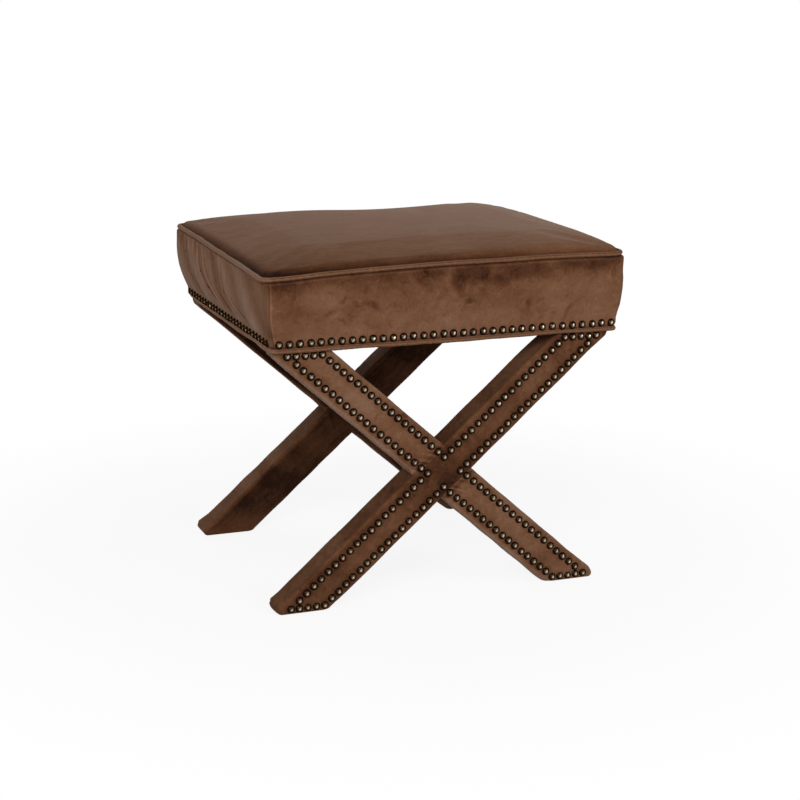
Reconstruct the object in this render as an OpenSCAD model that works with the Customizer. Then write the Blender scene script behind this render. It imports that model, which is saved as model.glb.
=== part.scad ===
// Upholstered stool on two X-shaped leg frames, with a boxed seat, welts and nailhead trim.
// Millimetres. +Z is up, the front looks along -Y, and the origin is on the floor under the middle.

/* [Seat] */
// Width of the seat at its lower edge
seat_w = 494; // [440:1:620]
// Depth of the seat at its lower edge
seat_d = 403; // [360:1:500]
// Height of the seat's underside above the floor
seat_z = 365.5; // [320:0.5:420]
// Height of the boxed sides, from the underside to the seam of the top
box_h = 100; // [88:0.5:125]
// Rise of the padded top above that seam
crown_h = 22.5; // [14:0.5:32]
// How far the left and right sides swell out above the frame
swell_w = 13; // [8:0.5:20]
// How far the front and back sides swell out above the frame
swell_d = 5.5; // [4:0.5:14]
// How far the sides turn in again below the top seam
tuck = 6; // [3:0.5:8]
// How far the padded top sits back of the frame
lean = 8.5; // [0:0.5:12]
// How far the padded sides draw in between their corners
pull_in = 2; // [0:0.5:6]
// How far the corners of the top seam hang below its middles
corner_drop = 3; // [0:0.5:6]
// Radius of the seat's upright corners
corner_r = 10; // [8:0.5:14]

/* [Upholstery] */
// Thickness of the velvet with its backing
cover_t = 1.6; // [1:0.1:2.2]
// Thickness of the batting over the foam
batting_t = 8; // [5:0.5:9]
// Thickness of the wadding round the legs
wadding_t = 2.5; // [1.5:0.1:4]
// Radius of the welts
welt_r = 3; // [2:0.1:4]
// How far the lower welt's middle lies in from the seat's side
welt_in = 1.2; // [0.5:0.1:2]
// Thickness of the dust cover under the seat
dust_t = 0.8; // [0.5:0.1:1.5]

/* [Seat frame] */
// Height of the rails
rail_h = 42; // [36:1:50]
// Depth of the front and back rails
rail_d = 58; // [52:1:70]
// Thickness of the side rails
side_rail_t = 30; // [24:1:40]
// Thickness of the plywood deck
deck_t = 12; // [9:1:15]
// Length of a corner block's two square sides
block_leg = 50; // [40:1:60]

/* [Leg frames] */
// Width of a covered leg, across its slope
leg_w = 55; // [48:1:62]
// Depth of a covered leg, front to back
leg_t = 42; // [38:1:46]
// Distance from the seat's side to a leg's centre line, at the seat's underside
top_inset = 34; // [28:0.5:60]
// Distance from the seat's side in to the outer edge of a leg's foot, on the floor
foot_inset = 1.8; // [-5.8:0.2:28.4]
// Radius of a covered leg's long edges
leg_edge_r = 4; // [2.5:0.5:6]
// Radius of the sharp corner of a foot, seen from the front
tip_r = 7; // [5.5:0.5:9]

/* [Nails] */
// Diameter of a decorative nail's head
nail_d = 11; // [9:0.5:12]
// Height of a nail's head
nail_h = 3.8; // [2.5:0.1:4.5]
// Length of a nail's shank below its head
nail_shank = 12; // [9:0.5:14]
// Diameter of a nail's shank
nail_shank_d = 1.8; // [1.2:0.1:2.4]
// Distance from one nail to the next along a leg
leg_pitch = 13.35; // [12.5:0.05:18]
// Least distance from one nail to the next across a leg's end
end_pitch = 11.8; // [11.4:0.1:18]
// Distance from one nail to the next round the seat
seat_pitch = 14.3; // [13:0.1:20]
// Distance from a leg's centre line to its rows of nails
row_offset = 15.9; // [14:0.1:18]
// Height of the seat's row of nails above its underside
seat_row_h = 6.4; // [6.2:0.1:9]
// Distance from the seat's underside down to a leg's top row of nails
top_row_drop = 11.3; // [11:0.1:16]
// Height of the bottom row of nails above the floor
foot_row_h = 7.6; // [6.5:0.1:14]
// Distance from a corner of the seat to the first nail of its front row
row_margin = 9.5; // [8:0.1:14]

/* [Fasteners] */
// Diameter of the coach screws that hold the legs
coach_d = 8; // [6:0.5:10]
// Depth of a coach screw in the leg
coach_depth = 38; // [30:1:40]
// Distance from a leg's centre line in to its coach screw
coach_in = 20; // [16:0.5:22]
// Width of a coach screw's hexagonal head, across its corners
coach_head_d = 15; // [12:0.5:17]
// Height of a coach screw's head
coach_head_h = 5.5; // [4:0.5:6]
// Outer diameter of a washer
washer_d = 22; // [18:0.5:24]
// Thickness of a washer
washer_t = 1.8; // [1:0.1:2]
// Depth of the sinking in the rail for a coach screw's head
sink_h = 9; // [8:0.5:12]
// Diameter of the dowels in the frame
dowel_d = 8; // [6:0.5:9]
// Length of a dowel between the rails
dowel_l = 40; // [30:1:50]
// Depth of a leg's dowel in the leg
leg_dowel_in = 14; // [10:1:15]
// Depth of a leg's dowel in the rail
leg_dowel_up = 22; // [16:1:28]
// Distance from a leg's centre line out to its dowel
leg_dowel_out = 8; // [4:0.5:9]
// Diameter of the wood screws
screw_d = 4; // [3:0.5:5]
// Diameter of a wood screw's countersunk head
screw_head_d = 8; // [7:0.5:9]
// Length of a deck screw
deck_screw_l = 34; // [25:1:40]
// Length of a corner block's screw
block_screw_l = 32; // [24:1:38]
// Width of a staple
staple_w = 10; // [6:0.5:12]
// Length of a staple's legs
staple_l = 8; // [6:0.5:10]
// Thickness of a staple's wire
staple_t = 0.7; // [0.5:0.1:1]

/* [Hidden] */

// How far cutting shapes run past what they cut
over = 5;
// Clearance between soft layers, and between a welt and what it lies on
soft_gap = 0.2;
// Clearance round a dowel or a screw in its hole, and in the crossing's lap joint
fit = 0.1;
// Clearance between the frame and the boxing
frame_gap = 0.4;

velvet = [0.36, 0.24, 0.18];
bronze = [0.30, 0.24, 0.16];
timber = [0.78, 0.62, 0.42];
plywood = [0.80, 0.68, 0.48];
zinc = [0.70, 0.71, 0.73];
foam_cream = [0.93, 0.88, 0.68];
batting_white = [0.95, 0.95, 0.93];
lining_black = [0.08, 0.08, 0.08];

// The frame under the padding
rail_z = seat_z + cover_t;
rail_top = rail_z + rail_h;
deck_top = rail_top + deck_t;
frame_x = seat_w / 2 - cover_t - frame_gap;
frame_y = seat_d / 2 - cover_t - frame_gap;
frame_r = corner_r - cover_t;
side_x = frame_x - side_rail_t;
cross_y = frame_y - rail_d;
seam_z = seat_z + box_h;

// How far in from the seat's side the leg frames and the boxing's hem lie, behind the lower welt
edge_in = welt_in + welt_r + soft_gap;
frame_d = seat_d - 2 * edge_in;
hem_w = edge_in + cover_t + wadding_t - soft_gap;

// Crossing of the leg frames
top_x = seat_w / 2 - top_inset;
foot_edge_x = seat_w / 2 - foot_inset;
// A leg's centre line runs leg_run across the stool. The foot's outer edge lies beyond it by half the leg's
// width, cut level, which grows as the leg leans, so the run is the root that brings the edge to its place.
half_ratio = leg_w / (2 * seat_z);
leg_reach = top_x + foot_edge_x;
leg_run = (leg_reach - half_ratio * sqrt(leg_reach * leg_reach + (1 - half_ratio * half_ratio) * seat_z * seat_z))
    / (1 - half_ratio * half_ratio);
slope = atan(seat_z / leg_run);
foot_x = leg_run - top_x;
cross_z = foot_x * tan(slope);
leg_l = 2 * seat_z / sin(slope);
core_w = leg_w - 2 * (cover_t + wadding_t);
core_t = leg_t - 2 * (cover_t + wadding_t);
padded_w = leg_w - 2 * cover_t;
padded_t = leg_t - 2 * cover_t;
leg_y = frame_d / 2 - leg_t / 2;
// Outermost place of a leg's top, inside the lower welt and clear of its bend round the corner
leg_limit_x = seat_w / 2 - edge_in - welt_r / 4;

// Shares of the seat's height at which its rings lie, from the underside to the top seam
nail_zone_share = 0.15;
belly_share = 0.8;
box_shares = [0, 0.15, 0.26, 0.38, 0.5, 0.62, 0.72, 0.8, 0.88, 0.94, 0.98, 1];
padding_shares = [0.72, 0.8, 0.88, 0.94, 0.98, 1];
apron_shares = [0.32, 0.5];
// Shares of the way from the middle to the seam at which the rings of the top lie
crown_shares = [0.985, 0.95, 0.88, 0.75, 0.55, 0.3];
// Powers that round the edge of the crown
crown_power = 4.5;
crown_round = 0.4;
// Least share of the corner radius that an inner layer keeps, and the share that a tight corner has
least_corner_share = 0.15;
tight_share = 0.8;
// Share of its radius by which the upper welt's middle stands above the top seam
welt_rise_share = 0.4;
// Steps along a side and round a corner
side_n = 7;
corner_n = 3;
welt_sides = 8;

deck_share = (deck_top - seat_z) / box_h;

// Eases from 0 to 1 as the share a goes from 0 to 1
function ease(a) = let (c = min(max(a, 0), 1)) c * c * (3 - 2 * c);
// Swelling of a side at the share s of its height: out to the belly, and in again to the seam
function swell(s, out) =
    let (a = min(max((s - nail_zone_share) / (belly_share - nail_zone_share), 0), 1))
    out * sin(90 * a) - tuck * pow(max(s - belly_share, 0) / (1 - belly_share), 2);
// How much of the lean, the drawing in and the drop a ring has, at the share s
function soft_part(s) = ease((s - deck_share) / (1 - deck_share));
function half_w(s) = seat_w / 2 + swell(s, swell_w);
function front_y(s) = -seat_d / 2 - swell(s, swell_d) + lean * soft_part(s);
function back_y(s) = seat_d / 2 + swell(s, swell_d) + lean * soft_part(s);

// The origin stands under the middle of the whole stool. The padded top sits back of the frame, so the
// frame lies forward of the origin by half of what the back reaches further than the front.
welt_out = 2 * welt_r + soft_gap;
back_reach = max(concat([for (s = box_shares) back_y(s)], [back_y(1) + welt_out]));
front_reach = max(concat([for (s = box_shares) -front_y(s)],
    [seat_d / 2 + nail_h, welt_out - front_y(1), seat_d / 2 - welt_in + welt_r]));
mid_y = (front_reach - back_reach) / 2;

// A ring: a rounded rectangle from y0 to y1, whose sides draw in by pull and corners hang by drop
function ring(hw, y0, y1, r, pull, drop, z) =
    let (hd = (y1 - y0) / 2, cy = (y0 + y1) / 2 + mid_y, sx = [1, -1, -1, 1], sy = [1, 1, -1, -1])
    [for (q = [0:3]) each concat(
        [for (j = [0:corner_n]) let (a = 90 * (q + j / corner_n))
            [sx[q] * (hw - r) + r * cos(a), cy + sy[q] * (hd - r) + r * sin(a), z - drop]],
        [for (j = [1:side_n - 1])
            let (u = 2 * j / side_n - 1, out = [cos(90 * (q + 1)), sin(90 * (q + 1))],
                along = [-out[1], out[0]], reach = q % 2 == 0 ? hd : hw, half = q % 2 == 0 ? hw : hd,
                p = out * (reach - pull * pow(1 - u * u, 2)) + along * u * (half - r))
            [p[0], cy + p[1], z - drop * pow(abs(u), 3)]])];

// The seat's outline at the share s of its height, drawn in by inset
function box_ring(s, inset) =
    ring(half_w(s) - inset, front_y(s) + inset, back_y(s) - inset,
        max(corner_r - inset, corner_r * least_corner_share), pull_in * soft_part(s),
        corner_drop * soft_part(s), seat_z + s * box_h);

// The outline of the frame, out by the clearance, at the height z. Its corners are tighter than the
// frame's own, so that their short straight steps stay outside it.
function frame_ring(gap, z) =
    ring(frame_x + gap, -frame_y - gap, frame_y + gap, frame_r * tight_share, 0, 0, z);

// A ring of the crowned top: the seam's ring drawn in to the share t, and raised
function crown_ring(t, inset) =
    let (base = box_ring(1, inset), mid = [0, (front_y(1) + back_y(1)) / 2 + mid_y, seam_z],
        rise = (crown_h - inset) * pow(1 - pow(t, crown_power), crown_round))
    [for (p = base) [mid[0] + t * (p[0] - mid[0]), mid[1] + t * (p[1] - mid[1]),
        seam_z + rise + t * t * (p[2] - seam_z)]];
function crown_rings(inset) = [for (t = crown_shares) crown_ring(t, inset)];
function crown_pole(inset) = [0, (front_y(1) + back_y(1)) / 2 + mid_y, seam_z + crown_h - inset];

function lift(rings, h) = [for (r = rings) [for (p = r) p + [0, 0, h]]];
function reversed(list) = [for (i = [len(list) - 1:-1:0]) list[i]];

// Quads between ring a and ring b of n points, as triangles
function band(a, b, n) =
    [for (k = [0:n - 1]) let (m = (k + 1) % n) each [[a * n + k, b * n + k, b * n + m],
        [a * n + k, b * n + m, a * n + m]]];

// A closed band of cloth: its rings run up the outside and down the inside
module ring_shell(rings) {
    n = len(rings[0]);
    count = len(rings);
    polyhedron(points = [for (r = rings) each r],
        faces = [for (i = [0:count - 1]) each band(i, (i + 1) % count, n)]);
}

// A solid between the first ring's middle and the last ring's middle
module capped(rings, first_pole, last_pole) {
    n = len(rings[0]);
    count = len(rings);
    first = count * n;
    polyhedron(points = concat([for (r = rings) each r], [first_pole, last_pole]),
        faces = concat([for (i = [0:count - 2]) each band(i, i + 1, n)],
            [for (k = [0:n - 1]) [first, k, (k + 1) % n]],
            [for (k = [0:n - 1]) [first + 1, (count - 1) * n + (k + 1) % n, (count - 1) * n + k]]));
}

// A welt: a round cord along the ring that lies out from the seat's outline at the share s
module welt(s, out, z_shift) {
    rings = [for (j = [0:welt_sides - 1]) let (a = 360 * j / welt_sides)
        lift([box_ring(s, -out - welt_r * cos(a))], z_shift + welt_r * sin(a))[0]];
    ring_shell(rings);
}

module rounded(w, d, r) {
    square([w - 2 * r, d], center = true);
    square([w, d - 2 * r], center = true);
    for (x = [-1, 1], y = [-1, 1])
        translate([x * (w / 2 - r), y * (d / 2 - r)]) circle(r, $fn = 48);
}

// Places for the joints of the seat frame
rail_mid_z = rail_z + rail_h / 2;
side_mid_x = side_x + side_rail_t / 2;
dowel_rise = rail_h / 4;

module each_corner() {
    for (x = [0, 1], y = [0, 1]) translate([0, mid_y, 0]) mirror([x, 0, 0]) mirror([0, y, 0]) children();
}

module rail_dowel_set(extra) {
    each_corner() for (z = [-1, 1])
        translate([side_mid_x, cross_y - dowel_l / 2 - extra, rail_mid_z + z * dowel_rise])
            rotate([-90, 0, 0]) cylinder(d = dowel_d + 2 * extra, h = dowel_l + 2 * extra, $fn = 32);
}

// A countersunk wood screw along +Z, with the top of its head at zero
module wood_screw(length, extra) {
    head_h = (screw_head_d - screw_d) / 2;
    rotate_extrude($fn = 32)
        polygon([[0, extra], [screw_head_d / 2 + extra, extra], [screw_head_d / 2 + extra, 0],
            [screw_d / 2 + extra, -head_h], [screw_d / 2 + extra, -length - extra],
            [0, -length - extra]]);
}

// Shares of a corner block's side: where its screws stand, and how much block is under their heads
block_screw_share = 0.62;
block_under_share = 0.28;

// A corner block's two screws, square to the rails, with the way in for their heads when they are cut out
module block_screw_set(extra) {
    under = block_leg * block_under_share;
    each_corner() for (turn = [[0, 0], [1, 90]])
        translate([side_x - (turn[0] == 0 ? under : block_leg * block_screw_share),
            cross_y - (turn[0] == 0 ? block_leg * block_screw_share : under), rail_mid_z])
            rotate([0, 0, turn[1]]) rotate([0, -90, 0]) {
                wood_screw(block_screw_l, extra);
                if (extra > 0) cylinder(d = screw_head_d + 2 * extra, h = block_leg / 2, $fn = 32);
            }
}

// Leg tops: x of the coach screw and of the dowel
coach_x = top_x - coach_in;
leg_dowel_x = top_x + leg_dowel_out;

module coach_set(extra) {
    each_corner() translate([coach_x, leg_y, seat_z - coach_depth - extra])
        cylinder(d = coach_d + 2 * extra, h = rail_top + coach_depth - seat_z, $fn = 32);
}

module sink_set() {
    each_corner() translate([coach_x, leg_y, rail_top - sink_h])
        cylinder(d = washer_d + 2 * fit + staple_t, h = sink_h + over, $fn = 48);
}

module leg_dowel_set(extra) {
    each_corner() translate([leg_dowel_x, leg_y, seat_z - leg_dowel_in - extra])
        cylinder(d = dowel_d + 2 * extra, h = leg_dowel_in + leg_dowel_up + 2 * extra, $fn = 32);
}

// Places of the deck's screws, as shares of the seat's width and depth
deck_screw_shares = [0.09, 0.27];

module deck_screw_set(extra) {
    each_corner() {
        for (share = deck_screw_shares)
            translate([seat_w * share, frame_y - rail_d / 2, deck_top]) wood_screw(deck_screw_l, extra);
        translate([side_mid_x, seat_d * deck_screw_shares[0] * 2, deck_top])
            wood_screw(deck_screw_l, extra);
    }
}

// The rails, from one outline with rounded corners
module rail_stock(x0, x1, y0, y1) {
    translate([0, mid_y, rail_z]) linear_extrude(rail_h) intersection() {
        rounded(2 * frame_x, 2 * frame_y, frame_r);
        translate([x0, y0]) square([x1 - x0, y1 - y0]);
    }
}

module cross_rail(side) {
    color(timber) difference() {
        rail_stock(-frame_x, frame_x, side < 0 ? -frame_y : cross_y, side < 0 ? -cross_y : frame_y);
        rail_dowel_set(fit);
        block_screw_set(fit);
        coach_set(fit);
        sink_set();
        leg_dowel_set(fit);
        deck_screw_set(fit);
    }
}

module side_rail(side) {
    color(timber) difference() {
        rail_stock(side < 0 ? -frame_x : side_x, side < 0 ? -side_x : frame_x, -cross_y, cross_y);
        rail_dowel_set(fit);
        block_screw_set(fit);
        deck_screw_set(fit);
    }
}

module front_rail() cross_rail(-1);
module back_rail() cross_rail(1);
module left_rail() side_rail(-1);
module right_rail() side_rail(1);
module rail_dowels() color(timber) rail_dowel_set(0);

module corner_blocks() {
    color(timber) difference() {
        each_corner() translate([side_x, cross_y, rail_z]) linear_extrude(rail_h)
            polygon([[0, 0], [-block_leg, 0], [0, -block_leg]]);
        block_screw_set(fit);
    }
}

module corner_block_screws() color(zinc) block_screw_set(0);

module seat_deck() {
    color(plywood) difference() {
        translate([0, mid_y, rail_top]) linear_extrude(deck_t)
            rounded(2 * frame_x, 2 * frame_y, frame_r);
        deck_screw_set(fit);
    }
}

module deck_screws() color(zinc) deck_screw_set(0);

// Padding: the layers lie inside one another, each a clearance in from the last
batting_in = cover_t + soft_gap;
foam_in = batting_in + batting_t;

module seat_foam() {
    inset = foam_in + soft_gap;
    rings = concat([lift([box_ring(deck_share, inset)], soft_gap)[0]],
        [for (s = padding_shares) box_ring(s, inset)], crown_rings(inset));
    mid = crown_pole(inset);
    color(foam_cream) capped(rings, [mid[0], mid[1], deck_top + soft_gap], mid);
}

// The batting lies over the foam and hangs down round the deck and the upper part of the rails
module seat_batting() {
    outside = concat([for (s = apron_shares) box_ring(s, batting_in)],
        [for (s = padding_shares) box_ring(s, batting_in)], crown_rings(batting_in));
    inside = concat([for (s = apron_shares) frame_ring(soft_gap, seat_z + s * box_h)],
        [frame_ring(soft_gap, deck_top + soft_gap)],
        [lift([box_ring(deck_share, foam_in)], soft_gap)[0]],
        [for (s = padding_shares) box_ring(s, foam_in)], crown_rings(foam_in));
    color(batting_white) capped(concat(reversed(inside), outside),
        crown_pole(foam_in), crown_pole(batting_in));
}

module seat_top_panel() {
    color(velvet) translate([0, 0, soft_gap]) capped(concat(reversed(crown_rings(cover_t)),
        [box_ring(1, cover_t), box_ring(1, 0)], crown_rings(0)), crown_pole(cover_t), crown_pole(0));
}

module seat_boxing() {
    hem = box_ring(0, hem_w);
    color(velvet) ring_shell(concat([for (s = box_shares) box_ring(s, 0)],
        [for (s = reversed(box_shares)) if (s > 0) box_ring(s, cover_t)],
        [lift([box_ring(0, cover_t)], cover_t)[0]], lift([hem], cover_t), [hem]));
}

module top_welt() color(velvet) welt(1, welt_r + soft_gap, welt_r * welt_rise_share);
module bottom_welt() color(velvet) welt(0, -welt_in, -welt_r - soft_gap);

// The dust cover laps the boxing's hem inside the lower welt and goes round the leg frames
dust_in = (edge_in + hem_w) / 2;
dust_side_x = seat_w / 2 - dust_in;
dust_mid_x = top_x - leg_w / sin(slope) / 2 - welt_r * 3;
dust_mid_y = seat_d / 2 - dust_in;
dust_side_y = leg_y - leg_t / 2 - welt_r / 2;

module dust_cover() {
    color(lining_black) translate([0, mid_y, seat_z - dust_t]) linear_extrude(dust_t) {
        square([2 * dust_side_x, 2 * dust_side_y], center = true);
        square([2 * dust_mid_x, 2 * dust_mid_y], center = true);
    }
}

module staple() {
    translate([-staple_w / 2, -staple_t / 2, -staple_t]) cube([staple_w, staple_t, staple_t]);
    for (x = [-1, 1]) translate([x * (staple_w - staple_t) / 2 - staple_t / 2, -staple_t / 2, -staple_t])
        cube([staple_t, staple_t, staple_l]);
}

// Places of the staples as shares of the dust cover's half width and half depth
staple_shares = [0, 0.4, 0.8];

module dust_cover_staples() {
    color(zinc) translate([0, mid_y, seat_z - dust_t]) {
        for (share = staple_shares, x = share > 0 ? [-1, 1] : [1], y = [-1, 1])
            translate([x * share * dust_mid_x, y * (dust_mid_y - staple_w / 2), 0]) staple();
        for (share = staple_shares, x = [-1, 1], y = share > 0 ? [-1, 1] : [1])
            translate([x * (dust_side_x - staple_w / 2), y * share * dust_side_y, 0])
                rotate([0, 0, 90]) staple();
    }
}

// A bar along one leg of a frame. hand is 1 for the leg that rises to the right, -1 for the other.
module leg_bar(hand, side, w, t, r, z0, z1) {
    translate([0, mid_y + side * leg_y, 0]) intersection() {
        translate([0, 0, cross_z]) rotate([0, hand * (90 - slope), 0])
            translate([0, 0, -leg_l / 2]) linear_extrude(leg_l) rounded(w, t, r);
        translate([-seat_w, -leg_t, z0]) cube([2 * seat_w, 2 * leg_t, z1 - z0]);
    }
}

// What a leg's top loses where it would come out past the lower welt, with its corner rounded
module top_trim(side, inset) {
    r = corner_r - edge_in - inset;
    x0 = leg_limit_x - inset - r;
    y0 = frame_d / 2 - inset - r;
    translate([0, mid_y, seat_z - leg_w / 2]) mirror([0, side < 0 ? 1 : 0, 0])
        for (x = [0, 1]) mirror([x, 0, 0]) linear_extrude(leg_w) difference() {
            translate([x0, y0 - leg_t]) square([leg_w, 2 * leg_t]);
            translate([x0 - over, y0 - leg_t - over]) square([r + over, leg_t + over]);
            translate([x0, y0]) circle(r, $fn = 48);
        }
}

core_r = leg_edge_r * least_corner_share;
padded_r = leg_edge_r - cover_t;

// A foot's sharp corner is drawn round a circle that touches the floor and the leg's upper edge. The layers
// under the velvet keep the circle's middle.
tip_reach = tip_r / tan(slope / 2);
tip_x = foot_edge_x - tip_reach;
edge_out = [sin(slope), cos(slope)];

// Carries an outline of the right foot, as x and z, through the depth of the leg that has this hand
module foot_cut(hand, side) {
    translate([0, mid_y + side * leg_y, 0]) mirror([hand > 0 ? 1 : 0, 0, 0]) rotate([90, 0, 0])
        linear_extrude(2 * leg_t, center = true) children();
}

// What the velvet and the wadding lose there
module tip_trim(hand, side, inset) {
    foot_cut(hand, side) difference() {
        polygon([[tip_x, tip_r], [tip_x, -over], [foot_edge_x + 2 * over, -over],
            [tip_x, tip_r] + edge_out * (tip_r + over)]);
        translate([tip_x, tip_r]) circle(tip_r - inset, $fn = 64);
    }
}

// What the timber loses there: its corner is sawn off inside the circle
module tip_saw(hand, side) {
    foot_cut(hand, side)
        polygon([[tip_x, cover_t], [tip_x, -over], [foot_edge_x + 2 * over, -over],
            [tip_x, tip_r] + edge_out * (tip_r + over),
            [tip_x, tip_r] + edge_out * (tip_r - cover_t - wadding_t)]);
}

module core_bar(hand, side, extra = 0, t = core_t)
    leg_bar(hand, side, core_w + 2 * extra, t, core_r, cover_t, rail_z);
module padded_bar(hand, side, top = 0, foot = cover_t) {
    difference() {
        leg_bar(hand, side, padded_w, padded_t, padded_r, foot, seat_z + top);
        tip_trim(hand, side, cover_t);
    }
}
module covered_bar(hand, side, top = 0) {
    difference() {
        leg_bar(hand, side, leg_w, leg_t, leg_edge_r, -top, seat_z + top);
        tip_trim(hand, side, 0);
    }
}

// The half of the depth that one leg gives up to the other at the crossing
module lap_half(side, face) {
    translate([-leg_w * 2, mid_y + side * leg_y + (face < 0 ? -leg_t : -fit), cross_z - leg_w * 2])
        cube([leg_w * 4, leg_t + fit, leg_w * 4]);
}

module lap_dowel_set(extra) {
    for (side = [-1, 1])
        translate([0, mid_y + side * leg_y - core_t / 3 - extra, cross_z]) rotate([-90, 0, 0])
            cylinder(d = dowel_d + 2 * extra, h = core_t * 2 / 3 + 2 * extra, $fn = 32);
}

// A timber leg. The one that rises to the left gives up its front half at the crossing.
module leg(hand, side) {
    face = hand < 0 ? -1 : 1;
    color(timber) difference() {
        core_bar(hand, side);
        intersection() {
            core_bar(-hand, side, fit, core_t + over);
            lap_half(side, face);
        }
        top_trim(side, cover_t + wadding_t);
        tip_saw(hand, side);
        lap_dowel_set(fit);
        coach_set(fit);
        leg_dowel_set(fit);
    }
}

module leg_wadding(hand, side) {
    color(batting_white) difference() {
        padded_bar(hand, side);
        difference() {
            leg_bar(hand, side, core_w, core_t, core_r, 0, seat_z + over);
            tip_saw(hand, side);
        }
        if (hand > 0) core_bar(-hand, side, fit);
        else padded_bar(-hand, side);
        top_trim(side, cover_t);
    }
}

// The velvet of the leg that rises to the right runs over the crossing. The other leg's velvet stops there.
module whole_cover(side) {
    color(velvet) difference() {
        covered_bar(1, side);
        padded_bar(1, side, over);
        padded_bar(-1, side);
        top_trim(side, 0);
    }
}

module part_cover(side, upper) {
    color(velvet) difference() {
        covered_bar(-1, side);
        padded_bar(-1, side, over);
        covered_bar(1, side, over);
        top_trim(side, 0);
        translate([-seat_w, mid_y + side * leg_y - leg_t, upper ? cross_z - seat_z : cross_z])
            cube([2 * seat_w, 2 * leg_t, seat_z]);
    }
}

module front_leg_a() leg(-1, -1);
module front_leg_b() leg(1, -1);
module rear_leg_a() leg(-1, 1);
module rear_leg_b() leg(1, 1);
module lap_dowels() color(timber) lap_dowel_set(0);
module leg_dowels() color(timber) leg_dowel_set(0);

module leg_coach_screws() {
    head_z = rail_top - sink_h + washer_t;
    color(zinc) each_corner() translate([coach_x, leg_y, 0]) {
        translate([0, 0, seat_z - coach_depth])
            cylinder(d = coach_d, h = head_z - seat_z + coach_depth, $fn = 32);
        translate([0, 0, head_z]) cylinder(d = coach_head_d, h = coach_head_h, $fn = 6);
    }
}

module leg_washers() {
    color(zinc) each_corner() translate([coach_x, leg_y, rail_top - sink_h]) difference() {
        cylinder(d = washer_d, h = washer_t, $fn = 48);
        translate([0, 0, -over]) cylinder(d = coach_d + 2 * fit, h = washer_t + 2 * over, $fn = 32);
    }
}

module front_leg_a_wadding() leg_wadding(-1, -1);
module front_leg_b_wadding() leg_wadding(1, -1);
module rear_leg_a_wadding() leg_wadding(-1, 1);
module rear_leg_b_wadding() leg_wadding(1, 1);
module front_leg_a_upper_cover() part_cover(-1, true);
module front_leg_a_lower_cover() part_cover(-1, false);
module front_leg_b_cover() whole_cover(-1);
module rear_leg_a_upper_cover() part_cover(1, true);
module rear_leg_a_lower_cover() part_cover(1, false);
module rear_leg_b_cover() whole_cover(1);

// A domed nail along +Z, with the underside of its head at zero, a blunt point and a small flat on top
nail_rim_share = 0.16;
nail_tip_share = 0.4;
// Least gap between two heads, as a share of a head's diameter
nail_gap_share = 0.01;
dome_steps = 3;
dome_end = 72;
module nail() {
    rim = nail_h * nail_rim_share;
    dome = (nail_h - rim) / sin(dome_end);
    rotate_extrude($fn = 24)
        polygon(concat([[0, -nail_shank], [nail_shank_d / 2 * nail_tip_share, -nail_shank],
            [nail_shank_d / 2, -nail_shank + nail_shank_d], [nail_shank_d / 2, 0], [nail_d / 2, 0]],
            [for (j = [0:dome_steps]) let (a = dome_end * j / dome_steps)
                [nail_d / 2 * cos(a), rim + dome * sin(a)]], [[0, nail_h]]));
}

// Points from p to q in n whole steps, without p itself
function in_steps(p, q, n) = [for (j = [1:n]) p + (q - p) * j / n];
function steps_between(p, q, pitch) = in_steps(p, q, max(round(norm(q - p) / pitch), 1));
function end_steps(p, q) = in_steps(p, q, max(floor(norm(q - p) / end_pitch), 1));

// The nails of one half of a frame, as x and z: an upper arm and a lower arm, each with two rows and an end
row_rise = row_offset / cos(slope);
row_side = row_offset / sin(slope);
top_row_z = seat_z - top_row_drop;
function line_x(z, rise) = (z - cross_z - rise) / tan(slope);
crown_nail = [0, cross_z + row_rise];
base_nail = [0, cross_z - row_rise];
side_nail = [row_side, cross_z];
top_inner = [line_x(top_row_z, row_rise), top_row_z];
top_outer = [line_x(top_row_z, -row_rise), top_row_z];
foot_inner = [-line_x(foot_row_h, -row_rise), foot_row_h];
foot_outer = [-line_x(foot_row_h, row_rise), foot_row_h];
function all_but_last(list) = [for (i = [0:1:len(list) - 2]) list[i]];
// At an end's sharp corner the long row's last step is wide enough to clear the end row's next nail
end_w = norm(top_outer - top_inner);
end_step = end_w / max(floor(end_w / end_pitch), 1);
clear_d = nail_d * (1 + nail_gap_share);
corner_step = max(leg_pitch, end_step * cos(slope)
    + sqrt(max(clear_d * clear_d - pow(end_step * sin(slope), 2), 0)));
function steps_to_corner(p, q) =
    concat(steps_between(p, q - (q - p) * corner_step / norm(q - p), leg_pitch), [q]);
half_frame_nails = concat([side_nail],
    steps_between(crown_nail, top_inner, leg_pitch), steps_to_corner(side_nail, top_outer),
    steps_between(base_nail, foot_inner, leg_pitch), steps_to_corner(side_nail, foot_outer),
    all_but_last(end_steps(top_inner, top_outer)), all_but_last(end_steps(foot_inner, foot_outer)));

module leg_nails(side) {
    color(bronze) translate([0, mid_y + side * frame_d / 2, 0]) {
        for (hand = [-1, 1], p = half_frame_nails)
            translate([hand * p[0], 0, p[1]]) rotate([-side * 90, 0, 0]) nail();
        for (p = [crown_nail, base_nail])
            translate([p[0], 0, p[1]]) rotate([-side * 90, 0, 0]) nail();
    }
}

// The side rows start far enough from the corners to pass behind the shanks of the front and back rows
side_margin = nail_shank + 2 * nail_shank_d;

// A row of nails along one side of the seat, centred on +X of a frame turned by turn
module seat_row(turn, reach, half, margin) {
    first = [-(half - margin), 0];
    last = [half - margin, 0];
    color(bronze) translate([0, mid_y, seat_z + seat_row_h]) rotate([0, 0, turn])
        for (p = concat([first], steps_between(first, last, seat_pitch)))
            translate([reach, p[0], 0]) rotate([0, 90, 0]) nail();
}

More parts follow.
